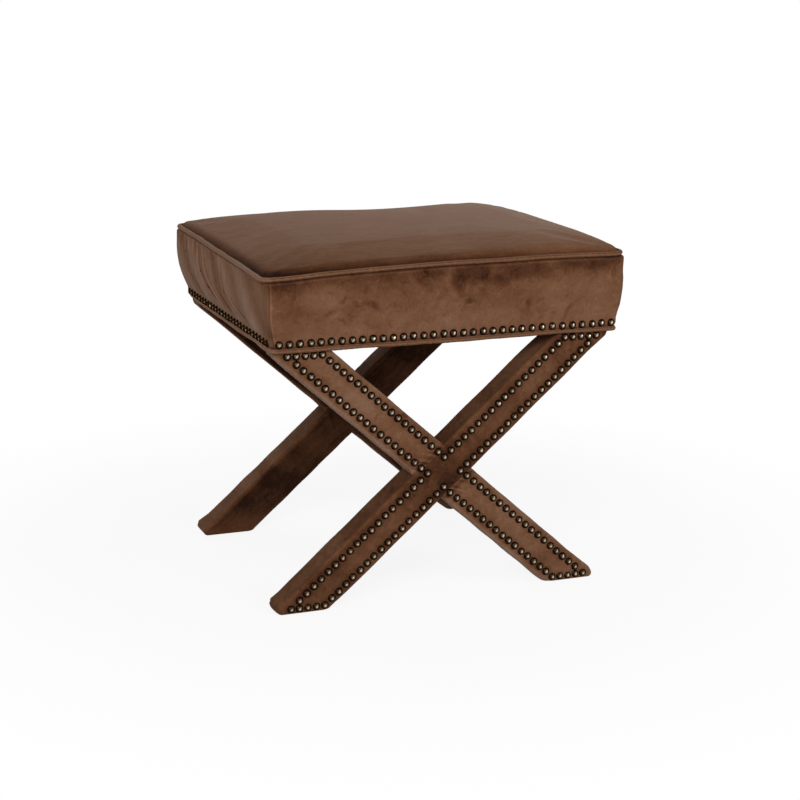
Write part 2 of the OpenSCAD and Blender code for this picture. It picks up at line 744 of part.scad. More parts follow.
module front_leg_nails() leg_nails(-1);
module rear_leg_nails() leg_nails(1);
module seat_front_nails() seat_row(-90, seat_d / 2, seat_w / 2, row_margin);
module seat_back_nails() seat_row(90, seat_d / 2, seat_w / 2, row_margin);
module seat_left_nails() seat_row(180, seat_w / 2, seat_d / 2, side_margin);
module seat_right_nails() seat_row(0, seat_w / 2, seat_d / 2, side_margin);

front_rail();
back_rail();
left_rail();
right_rail();
rail_dowels();
corner_blocks();
corner_block_screws();
seat_deck();
deck_screws();
seat_foam();
seat_batting();
seat_top_panel();
seat_boxing();
top_welt();
bottom_welt();
dust_cover();
dust_cover_staples();
front_leg_a();
front_leg_b();
rear_leg_a();
rear_leg_b();
lap_dowels();
leg_coach_screws();
leg_washers();
leg_dowels();
front_leg_a_wadding();
front_leg_b_wadding();
rear_leg_a_wadding();
rear_leg_b_wadding();
front_leg_a_upper_cover();
front_leg_a_lower_cover();
front_leg_b_cover();
rear_leg_a_upper_cover();
rear_leg_a_lower_cover();
rear_leg_b_cover();
front_leg_nails();
rear_leg_nails();
seat_front_nails();
seat_back_nails();
seat_left_nails();
seat_right_nails();
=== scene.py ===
import bpy
import numpy as np
from mathutils import Matrix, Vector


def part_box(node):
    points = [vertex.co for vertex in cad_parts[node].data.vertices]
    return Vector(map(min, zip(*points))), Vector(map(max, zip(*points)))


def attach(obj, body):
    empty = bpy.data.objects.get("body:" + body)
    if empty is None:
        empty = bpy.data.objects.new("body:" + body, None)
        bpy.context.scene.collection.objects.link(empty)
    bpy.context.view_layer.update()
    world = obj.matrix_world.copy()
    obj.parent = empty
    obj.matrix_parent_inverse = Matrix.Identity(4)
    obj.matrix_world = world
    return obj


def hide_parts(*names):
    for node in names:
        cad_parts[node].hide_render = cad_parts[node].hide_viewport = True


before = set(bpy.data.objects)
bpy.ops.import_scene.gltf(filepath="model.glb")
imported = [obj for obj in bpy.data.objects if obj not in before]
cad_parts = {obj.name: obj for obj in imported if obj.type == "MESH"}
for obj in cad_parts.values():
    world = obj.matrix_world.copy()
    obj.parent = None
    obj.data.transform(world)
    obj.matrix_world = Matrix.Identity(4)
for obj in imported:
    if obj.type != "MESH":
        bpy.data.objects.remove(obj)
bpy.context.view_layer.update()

bl_info = {
    "name": "Upholstered X-leg stool",
    "version": (1, 0, 0),
    "blender": (4, 5, 0),
    "location": "View3D > Sidebar > Stool",
    "description": "Dresses the stool's frame in velvet, welts and nails, and sets its stage",
    "category": "Object",
}

MM = 0.001

# Places read from the frame: the hem, the two leg frames, and the seat's panel, band and deck
HEM_LOW, HEM_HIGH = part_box("bottom_welt")
LEG_LOW, LEG_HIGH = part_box("front_leg_b_cover")
REAR_LOW, REAR_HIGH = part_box("rear_leg_b_cover")
PANEL_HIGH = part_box("seat_top_panel")[1]
BOXING_LOW, BOXING_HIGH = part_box("seat_boxing")
DECK_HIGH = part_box("seat_deck")[1]
MIDDLE_Y = (LEG_LOW.y + REAR_HIGH.y) / 2

# How far the hem's welt stands out past the seat's side, and how far the crown stays under the panel's top
HEM_REACH, CROWN_SLACK = 1.8 * MM, 0.2 * MM


def measure(name, description, default):
    """Property for a length of the stool."""
    return bpy.props.FloatProperty(name=name, description=description, default=default, unit="LENGTH",
                                   subtype="DISTANCE")


def tint(name, description, *default):
    """Property for a colour of the stool."""
    return bpy.props.FloatVectorProperty(name=name, description=description, default=default, size=3,
                                         subtype="COLOR")


class StoolSizes(bpy.types.PropertyGroup):
    seat_half_width: measure("Half width of the seat", "From the middle to the seat's lower side edge",
                             HEM_HIGH.x - HEM_REACH)
    seat_half_depth: measure("Half depth of the seat", "From the middle to the seat's lower front edge",
                             (HEM_HIGH.y - HEM_LOW.y) / 2 - HEM_REACH)
    seat_underside: measure("Height of the underside", "From the floor to the underside", BOXING_LOW.z)
    crown: measure("Crown", "Rise of the padded top above its seam",
                   PANEL_HIGH.z - BOXING_HIGH.z - CROWN_SLACK)
    corner_radius: measure("Corner radius", "Radius of the seat's upright corners", 8 * MM)
    welt_radius: measure("Welt radius", "Radius of the covered cord in a welt", 3.1 * MM)
    leg_width: measure("Leg width", "Width of a covered leg across its slope", 55 * MM)
    leg_edge: measure("Leg edge radius", "Radius of a covered leg's long edges", 4.5 * MM)
    nail_width: measure("Nail width", "Diameter of a nail's head", 11 * MM)
    nail_rise: measure("Nail rise", "Height of a nail's head", 3.8 * MM)


class StoolColours(bpy.types.PropertyGroup):
    # The velvet colours form one ramp, from painted shade to a painted highlight
    velvet: tint("Velvet", "Velvet seen square to its pile", 0.118, 0.054, 0.027)
    velvet_light: tint("Velvet, light", "Velvet whose pile catches the light", 0.165, 0.091, 0.059)
    # The lightest velvet is a painted highlight on edges and ridges and on the sheen at the back of the top
    velvet_highlight: tint("Velvet, rim", "Velvet on worn edges and ridges", 0.225, 0.144, 0.104)
    velvet_dark: tint("Velvet, dark", "Velvet brushed away from the light", 0.064, 0.024, 0.010)
    # The darkest velvet is painted shade in hollows, creases and under the seat
    velvet_in_shade: tint("Velvet, deep", "Velvet in hollows and creases", 0.013, 0.004, 0.0015)
    # The brass colours also paint light: a painted highlight in the rubbed middle, painted shade on the aged
    # rim
    brass: tint("Brass", "Worn middle of a nail's head", 0.60, 0.50, 0.36)
    brass_dark: tint("Brass, aged", "Dark rim of a nail's head", 0.015, 0.0065, 0.003)
    timber: tint("Timber", "Rubberwood of the frame", 0.58, 0.40, 0.22)
    plywood: tint("Plywood", "Birch plywood of the deck", 0.62, 0.46, 0.28)
    steel: tint("Zinc-plated steel", "Screws, washers and staples", 0.62, 0.63, 0.66)
    lining: tint("Lining", "Black cloth under the seat", 0.018, 0.017, 0.018)


# ---------------------------------------------------------------- curves and surfaces

def ease(a):
    """Eases from 0 to 1 as a goes from 0 to 1: three a squared less two a cubed."""
    c = np.clip(a, 0, 1)
    return c * c * (3 - 2 * c)


def bell(away, width):
    """Bell-shaped curve: 1 in the middle, and 1/e at the given width from it."""
    return np.exp(-(away / width) ** 2)


def fading(away, width):
    """Curve that starts at 1 and falls to 1/e over each width."""
    return np.exp(-away / width)


def waves(share, low, high, seed):
    """Wandering line round a closed ring, about -1 to 1: sines of low to high whole turns, each with its
    own start, and each weaker by the square root of its number."""
    rng = np.random.default_rng(seed)
    turns = np.arange(low, high + 1)
    start = rng.uniform(0, 2 * np.pi, len(turns))
    size = rng.uniform(0.4, 1, len(turns)) / turns ** 0.5
    total = (size * np.sin(2 * np.pi * turns * np.asarray(share)[..., None] + start)).sum(-1)
    return total / (1.6 * np.sqrt((size ** 2).sum() / 2))


def ripples(u, v, low, high, tilt, count, seed):
    """Uneven folds across u, about -1 to 1: plane sines whose wave lengths lie between low and high, in
    millimetres, each leaning by a small random slope along v around tilt."""
    rng = np.random.default_rng(seed)
    total = np.zeros(np.broadcast(u, v).shape)
    for _ in range(count):
        number = 2 * np.pi / rng.uniform(low * MM, high * MM)
        lean = tilt + rng.normal(0, 0.12)
        total = total + rng.uniform(0.5, 1) * np.sin(number * (u + lean * v) + rng.uniform(0, 2 * np.pi))
    return total / (0.75 * np.sqrt(count / 2) * 1.6)


def along_line(x, y):
    """Distance along a line of points from its first one."""
    return np.concatenate([[0], np.hypot(np.diff(x), np.diff(y)).cumsum()])


def ring_columns(right, back, left, front, corner):
    """Columns of a ring round a rounded rectangle, anticlockwise from the front end of its right side.
    Each has a place along the straight sides, (sx, sy) from -1 to 1, and an outward direction (nx, ny):
    its point is (sx, sy) times (half side less radius), plus (nx, ny) times the radius. The fifth row is
    its station, 0 to 4, one unit a side."""
    parts = []
    for side, count in enumerate((right, back, left, front)):
        c, s = ((1, 0), (0, 1), (-1, 0), (0, -1))[side]
        t = np.linspace(-1, 1, count, endpoint=False)
        one = np.ones(count)
        parts.append(np.stack([c - s * t, s + c * t, c * one, s * one, side + 0.02 + 0.48 * (t + 1)]))
        share = np.linspace(0, 1, corner, endpoint=False)
        a = np.pi / 2 * (side + share)
        one = np.ones(corner)
        parts.append(np.stack([(c - s) * one, (s + c) * one, np.cos(a), np.sin(a),
                               side + 0.98 + 0.04 * share]))
    return np.concatenate(parts, axis=1)


def ring_points(columns, half_x, front, back, radius):
    """Places (x, y) of the columns on rings with the given half widths, fronts, backs and radii, one
    ring for each row of those arrays."""
    sx, sy, nx, ny = columns[:4]
    half_y = (back - front) / 2
    x = sx * (half_x - radius) + nx * radius
    y = (front + back) / 2 + sy * (half_y - radius) + ny * radius
    return x, y


def strip_quads(rows, columns, round_columns=True, round_rows=False):
    """Quads between neighbouring rows and columns of a grid, wrapped round where asked."""
    i = np.arange(rows if round_rows else rows - 1)[:, None]
    j = np.arange(columns if round_columns else columns - 1)[None, :]
    up, on = (i + 1) % rows, (j + 1) % columns
    quads = np.stack([i * columns + j, i * columns + on, up * columns + on, up * columns + j], axis=-1)
    return quads.reshape(-1, 4)


def cap_faces(loop, middle):
    """Triangles from a closed loop of points to the point in its middle."""
    return np.stack([np.roll(loop, -1), loop, np.full(len(loop), middle)], axis=-1)


def signed_volume(points, faces):
    """Volume inside the faces, positive where they look outwards: a sixth of the sum of triple products."""
    a, b, c = points[faces[:, 0]], points[faces[:, 1]], points[faces[:, 2]]
    total = np.einsum("ij,ij->i", a, np.cross(b, c)).sum()
    if faces.shape[1] == 4:
        d = points[faces[:, 3]]
        total += np.einsum("ij,ij->i", a, np.cross(c, d)).sum()
    return total / 6


def link_mesh(name, points, faces, material):
    """A smooth mesh object in the scene, with its material."""
    mesh = bpy.data.meshes.new(name)
    mesh.from_pydata(points.tolist(), [], faces)
    mesh.polygons.foreach_set("use_smooth", np.ones(len(faces), bool))
    mesh.materials.append(bpy.data.materials[material])
    piece = bpy.data.objects.new(name, mesh)
    bpy.context.scene.collection.objects.link(piece)
    return piece


def make_piece(name, points, face_sets, material="brown_velvet", **layers):
    """A mesh object from points and sets of faces, turned so that they look outwards. The layers become
    attributes of its points: the cloth's own coordinates, its pile tone with the painted light and shade, and
    how much that is brushed about, or a nail's dome."""
    points = points.reshape(-1, 3)
    volume = sum(signed_volume(points, faces) for faces in face_sets)
    faces = [face for faces in face_sets for face in (faces[:, ::-1] if volume < 0 else faces).tolist()]
    piece = link_mesh(name, points, faces, material)
    mesh = piece.data
    for layer, values in layers.items():
        kind, key, width = ("FLOAT_VECTOR", "vector", 3) if layer == "cloth" else ("FLOAT", "value", 1)
        values = np.broadcast_to(values, len(points)) if np.ndim(values) == 0 else values
        values = np.ascontiguousarray(values, dtype=np.float32).reshape(len(points) * width)
        mesh.attributes.new(layer, kind, "POINT").data.foreach_set(key, values)
    mesh.validate()
    mesh.update()
    return piece


# The padding of the seat's top: its pressure, the cover's stiffness, the frames that the two are given,
# how far a point may move, and how wide a border is held
PRESSURE, STIFFNESS, FRAMES = 1.5, 8, 20
PADDING_CAP, PADDING_BORDER = 3 * MM, 9 * MM


def stuffed(piece, held):
    """Lets the padding fill the piece: Blender's Cloth, blown up from inside without gravity and held where
    held is 1. No point moves further than the cap, and the result stays in the mesh."""
    mesh = piece.data
    start = np.zeros(len(mesh.vertices) * 3)
    mesh.vertices.foreach_get("co", start)
    group = piece.vertex_groups.new(name="held")
    for level in range(1, 11):
        chosen = np.flatnonzero(np.round(held * 10) == level)
        group.add(chosen.tolist(), level / 10, "REPLACE")
    cloth = piece.modifiers.new("padding", "CLOTH")
    settings = cloth.settings
    settings.vertex_group_mass = "held"
    settings.use_pressure = True
    settings.uniform_pressure_force = PRESSURE
    settings.effector_weights.gravity = 0
    settings.bending_stiffness = STIFFNESS
    settings.quality = 4
    cloth.point_cache.frame_start = 1
    cloth.point_cache.frame_end = FRAMES
    for number in range(1, FRAMES + 1):
        bpy.context.scene.frame_set(number)
    shape = piece.evaluated_get(bpy.context.evaluated_depsgraph_get()).to_mesh()
    moved = np.zeros(len(start))
    shape.vertices.foreach_get("co", moved)
    way = (moved - start).reshape(-1, 3)
    distance = np.linalg.norm(way, axis=1, keepdims=True)
    way = way * np.minimum(1, PADDING_CAP / np.maximum(distance, 1e-9))
    piece.modifiers.remove(cloth)
    piece.vertex_groups.remove(group)
    mesh.vertices.foreach_set("co", start + way.ravel())
    mesh.update()
    bpy.context.scene.frame_set(1)


def settle(piece, slot, *nodes):
    """Fixes a finished piece to the stool, and lets it stand for its CAD nodes. Its slot is not used."""
    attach(piece, "root")
    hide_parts(*nodes)
    return piece


# ---------------------------------------------------------------- materials

class Nodes:
    """Small helper that adds shader nodes to one tree and links them."""

    def __init__(self, tree):
        self.tree = tree

    def add(self, kind, **sets):
        """A new node. What isn't one of its settings goes to the socket of that name, with _ for a blank."""
        node = self.tree.nodes.new("ShaderNode" + kind)
        for key, value in sets.items():
            if hasattr(node, key):
                setattr(node, key, value)
            else:
                self.plug(value, node.inputs[key.replace("_", " ")])
        return node

    def plug(self, value, socket):
        """Links a node's output to the socket, or sets the socket's own value."""
        if isinstance(value, bpy.types.NodeSocket):
            self.tree.links.new(value, socket)
        else:
            socket.default_value = (*value[:3], 1) if socket.type == "RGBA" else value

    def surface(self, **sockets):
        """Sets or links the sockets of the surface's shader."""
        shader = self.tree.nodes["Principled BSDF"]
        for key, value in sockets.items():
            self.plug(value, shader.inputs[key.replace("_", " ")])

    def where(self):
        return self.add("TexCoord").outputs["Object"]

    def attribute(self, name, output="Fac"):
        return self.add("Attribute", attribute_name=name).outputs[output]

    def place(self, vector, scale, turn=0.0):
        node = self.add("Mapping", vector_type="POINT", Vector=vector, Scale=scale, Rotation=(0, 0, turn))
        return node.outputs["Vector"]

    def noise(self, vector, scale, detail=3.0, roughness=0.5, distortion=0.0):
        return self.add("TexNoise", Vector=vector, Scale=scale, Detail=detail, Roughness=roughness,
                        Distortion=distortion).outputs["Fac"]

    def spread(self, value, low, high, to_low=0.0, to_high=1.0):
        return self.add("MapRange", interpolation_type="SMOOTHSTEP", Value=value, From_Min=low,
                        From_Max=high, To_Min=to_low, To_Max=to_high).outputs["Result"]

    def uneven(self, value, size=0.5):
        """The noise, spread to run from less the size to the size."""
        return self.spread(value, 0.3, 0.7, -size, size)

    def math(self, operation, *values):
        """Values joined one after the other by a math operation."""
        total = values[0]
        for value in values[1:]:
            node = self.add("Math", operation=operation)
            self.plug(total, node.inputs[0])
            self.plug(value, node.inputs[1])
            total = node.outputs["Value"]
        return total

    def blend(self, *parts):
        """Sum of values, each times its weight."""
        return self.math("ADD", *(self.math("MULTIPLY", value, weight) for value, weight in parts))

    def mix(self, share, first, second):
        node = self.add("Mix", data_type="RGBA")
        for number, value in ((0, share), (6, first), (7, second)):
            self.plug(value, node.inputs[number])
        return node.outputs[2]

    def bump(self, height, strength, distance, **under):
        node = self.add("Bump", Height=height, Strength=strength, Distance=distance, **under)
        return node.outputs["Normal"]


def new_material(name):
    """A material and its nodes. A plain material of the frame's that has the name gives it up."""
    if name in bpy.data.materials:
        bpy.data.materials[name].name = name + "_plain"
    material = bpy.data.materials.new(name)
    material.use_nodes = True
    return material, Nodes(material.node_tree)


def scaled(values, share):
    """The values, each times a share."""
    return tuple(value * share for value in values)


def velvet_material(colours):
    """Short-pile velvet. One ramp runs from painted shade, through pile brushed away from the light and pile
    that catches it, to a painted highlight; the attribute of the pile's tone, which carries painted light and
    shade, places a point on it, and patches, marks, mottles and smears along the cloth's own coordinates move
    it by as much as the brush attribute allows. Where the velvet is brushed less, long streaks show. A fine
    pile gives the bump, and a thin sheen the rim."""
    n = new_material("brown_velvet")[1]
    cloth = n.attribute("cloth", "Vector")
    brush = n.attribute("brush")
    weave = n.place(cloth, (0.9, 1, 1))
    patches = n.uneven(n.noise(weave, 10, 3, 0.5, 0.7))
    marks = n.spread(n.noise(n.place(cloth, (0.9, 1, 1), 0.5), 36, 3, 0.55, 1.4), 0.56, 0.72, 0.0, -1.0)
    marked = n.spread(n.noise(cloth, 16, 1, 0.5), 0.50, 0.62)
    mottle = n.uneven(n.noise(weave, 75, 4, 0.65, 0.8))
    smears = n.noise(n.place(cloth, (1, 1.2, 1), -0.4), 52, 3, 0.6, 2.2)
    streaks = n.uneven(n.noise(n.place(cloth, (1, 0.16, 1)), 150, 3, 0.6, 0.3))
    pile = n.noise(cloth, 1500, 2, 0.6)
    grain = n.noise(n.place(cloth, (1, 0.35, 1)), 420, 2, 0.6)
    marks = n.math("MULTIPLY", marks, marked)
    brushed = n.math("ADD", n.blend((patches, 0.14), (marks, 0.13), (mottle, 0.09)),
                     n.spread(smears, 0.58, 0.70, 0.0, 0.07), n.spread(smears, 0.30, 0.42, -0.08, 0.0))
    smooth = n.math("MULTIPLY", n.math("SUBTRACT", 1.15, brush), 0.10)
    share = n.math("ADD", n.math("MULTIPLY", brushed, brush), n.math("MULTIPLY", streaks, smooth),
                   n.uneven(pile, 0.025), n.uneven(grain, 0.025), n.attribute("nap"))
    ramp = n.add("ValToRGB")
    n.plug(share, ramp.inputs["Fac"])
    stops = (colours.velvet_in_shade, colours.velvet_dark, colours.velvet, colours.velvet_light,
             colours.velvet_highlight)
    for number, tone in enumerate(stops):
        place = number / 4
        stop = ramp.color_ramp.elements[number] if number < 2 else ramp.color_ramp.elements.new(place)
        stop.position = place
        stop.color = (*tone, 1)
    normal = n.bump(pile, 0.35, 0.4 * MM, Normal=n.bump(grain, 0.25, 0.8 * MM))
    n.surface(Base_Color=ramp.outputs["Color"], Roughness=n.spread(share, 0, 1, 0.98, 0.8),
              Specular_IOR_Level=0.08, Sheen_Weight=0.07, Sheen_Roughness=0.35, Sheen_Tint=(0.9, 0.7, 0.55),
              Normal=normal)


def nail_material(colours):
    """Antique brass, by the dome attribute: bright in the middle of the head, where it is rubbed and a
    painted highlight stands, and dark at its rim, where it is aged and painted shade lies.
    """
    n = new_material("antique_brass")[1]
    where = n.where()
    patina = n.math("SUBTRACT", n.noise(where, 260, 3, 0.6), 0.5)
    edge = n.math("ADD", n.attribute("dome"), n.math("MULTIPLY", patina, 0.35))
    # The bright middle is rubbed brass with a painted highlight, the dark rim aged brass with painted shade
    worn_and_highlit = n.mix(n.spread(edge, 0.07, 0.40), colours.brass, scaled(colours.brass, 0.12))
    n.surface(Base_Color=n.mix(n.spread(edge, 0.36, 0.66), worn_and_highlit, colours.brass_dark), Metallic=1.0,
              Specular_Tint=(0.16, 0.11, 0.08), Roughness=n.spread(edge, 0.2, 0.9, 0.18, 0.38),
              Normal=n.bump(n.noise(where, 900, 2, 0.6), 0.2, 0.2 * MM))


def timber_material(name, across, tone):
    """Straight-grained wood: long streaks of noise, darker lines of late wood, and open pores."""
    n = new_material(name)[1]
    where = n.where()
    lines = n.noise(n.place(where, scaled(across, 4)), 30, 2, 0.5)
    share = n.blend((n.noise(n.place(where, across), 26, 5, 0.6, 0.6), 0.65), (lines, 0.35))
    n.surface(Base_Color=n.mix(n.spread(share, 0.35, 0.65), scaled(tone, 0.62), tone),
              Roughness=n.spread(share, 0.3, 0.7, 0.62, 0.48), Normal=n.bump(lines, 0.2, 0.6 * MM))


def steel_material(tone):
    """Zinc-plated steel: a brushed grey with a faint cloudy spangle."""
    n = new_material("zinc_steel")[1]
    where = n.where()
    cloud = n.noise(where, 160, 3, 0.6)
    n.surface(Base_Color=n.mix(n.spread(cloud, 0.35, 0.65), scaled(tone, 0.7), tone), Metallic=1.0,
              Roughness=n.spread(cloud, 0.3, 0.7, 0.45, 0.28),
              Normal=n.bump(n.noise(where, 1200, 2, 0.6), 0.15, 0.2 * MM))


def lining_material(tone):
    """Black non-woven lining: pressed dots in rows, and loose fibres."""
    n = new_material("black_lining")[1]
    where = n.where()
    dots = n.add("TexVoronoi", feature="F1", Vector=where, Scale=420.0, Randomness=0.15)
    pressed = n.spread(dots.outputs["Distance"], 0.12, 0.4)
    fibre = n.noise(n.place(where, (1, 0.4, 1), 0.6), 700, 4, 0.7)
    cloth = n.mix(n.spread(fibre, 0.35, 0.65), tone, scaled(tone, 2.4))
    n.surface(Base_Color=n.mix(pressed, scaled(tone, 0.5), cloth), Roughness=0.85,
              Normal=n.bump(pressed, 0.4, 0.3 * MM))


# ---------------------------------------------------------------- the seat's own shape

# Height of the top welt's middle, in millimetres above the floor, at stations round the seat: 0 to 1 the
# right side from the front, 1 to 2 the back from the right, 2 to 3 the left side, 3 to 4 the front
WELT_LINE = (
    (0.0, 467.2), (0.06, 467.4), (0.3, 468.6), (0.7, 468.6), (0.95, 467.6), (1.0, 467.0), (1.3, 466.4),
    (1.7, 466.6), (1.95, 466.0), (2.0, 465.9), (2.15, 465.0), (2.285, 463.9), (2.46, 462.4), (2.625, 460.8),
    (2.78, 459.4), (2.88, 458.6), (2.95, 457.2), (3.0, 455.8), (3.04, 456.2), (3.09, 457.2), (3.16, 460.0),
    (3.3, 462.6), (3.465, 465.2), (3.54, 465.6), (3.615, 465.9), (3.69, 466.1), (3.765, 467.0), (3.84, 467.0),
    (3.917, 466.4), (3.96, 465.6), (3.985, 466.6),
)

# How far the padding pushes the right and the left side out past the frame's own line, in millimetres, by
# share of the seat's height
SIDE_REACH = (
    (0.0, 6.0, -1.0), (0.15, 7.0, 1.2), (0.3, 6.0, 2.4), (0.45, 3.0, 2.8), (0.6, 1.0, 2.0), (0.75, 1.2, 0.6),
    (0.9, 3.6, -0.4), (1.0, 5.3, 1.0),
)

# The seat's outline: how far it swells at its sides, and at front and back, how far it is drawn in at the
# top seam, how far it leans back there, and the share of its height at which the nails stand
SWELL_SIDE, SWELL_FRONT, TUCK, LEAN = 13.5 * MM, 5.8 * MM, 7.0 * MM, 8.5 * MM
NAIL_SHARE = 0.06


def welt_line(station):
    """Height of the top welt's middle at stations round the seat: the table above, made smooth by a
    running bell-shaped mean, in metres."""
    fine = np.linspace(0, 4, 1600, endpoint=False)
    places, heights = np.array(WELT_LINE).T
    line = np.interp(fine, places, heights, period=4)
    weights = bell(np.arange(-24, 25), 9.0)
    padded_line = np.concatenate([line[-24:], line, line[:24]])
    line = np.convolve(padded_line, weights / weights.sum(), mode="valid")
    return np.interp(station, fine, line, period=4) * MM


def seam_height(along_x, along_y):
    """Height of the top seam inside the panel, blended from its four sides: each side's line faded out
    towards the opposite side, less the blend of the corners."""
    left, front = 1 - along_x, 1 - along_y
    corners = (welt_line(3.0) * left * front + welt_line(0.0) * along_x * front
               + welt_line(2.0) * left * along_y + welt_line(1.0) * along_x * along_y)
    return (front * welt_line(3 + along_x) + along_y * welt_line(2 - along_x)
            + left * welt_line(3 - along_y) + along_x * welt_line(along_y) - corners)


def seat_outline(share):
    """Half width, front and back of the seat at shares of its height: straight at the nails, swelling out
    to the belly, drawn in at the seam, and leaning back towards the top."""
    sizes = bpy.context.scene.stool_sizes
    out = np.sin(np.pi / 2 * np.clip((share - 0.12) / 0.62, 0, 1))
    tuck = TUCK * (np.maximum(share - 0.86, 0) / 0.14) ** 5
    lean = LEAN * ease((share - 0.556) / 0.444)
    half = sizes.seat_half_width + SWELL_SIDE * out - tuck
    reach = sizes.seat_half_depth + SWELL_FRONT * out - tuck
    return half, MIDDLE_Y - reach + lean, MIDDLE_Y + reach + lean


def stretch(x, share):
    """Moves points out sideways by the table above: nothing in the middle, all of it at the sides."""
    places, right, left = np.array(SIDE_REACH).T
    half = bpy.context.scene.stool_sizes.seat_half_width
    reach = np.where(x > 0, np.interp(share, places, right), np.interp(share, places, left)) * MM
    return x + np.sign(x) * reach * ease((np.abs(x) - half * 0.35) / (half * 0.6))


# Nodes of the nails, each with the way that its heads look: 1 or 2 for x or y, with a sign
SEAT_NAILS = (("seat_front_nails", -2), ("seat_back_nails", 2), ("seat_left_nails", -1),
              ("seat_right_nails", 1))
LEG_NAILS = (("front_leg_nails", -2), ("rear_leg_nails", 2))


def nail_places(node, axis):
    """Middles of a node's nails, from the flat tops of their heads in the frame's mesh. Those of the seat
    move out with its sides."""
    sizes = bpy.context.scene.stool_sizes
    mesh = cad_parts[node].data
    points = np.zeros(len(mesh.vertices) * 3, np.float32)
    mesh.vertices.foreach_get("co", points)
    points = points.reshape(-1, 3)
    column = abs(axis) - 1
    out = points[:, column] * np.sign(axis)
    tops = np.unique(np.round(points[out > out.max() - 0.1 * MM], 5), axis=0)
    near = ((tops[:, None, :] - tops[None, :, :]) ** 2).sum(-1) < (4 * MM) ** 2
    first = near.argmax(axis=1)
    middles = np.array([tops[first == k].mean(axis=0) for k in np.unique(first)])
    middles[:, column] -= np.sign(axis) * sizes.nail_rise
    if node.startswith("seat"):
        middles[:, 0] = stretch(middles[:, 0], NAIL_SHARE)
    return middles


# Columns and rows of the seat top's grid
TOP_GRID = (121, 101)


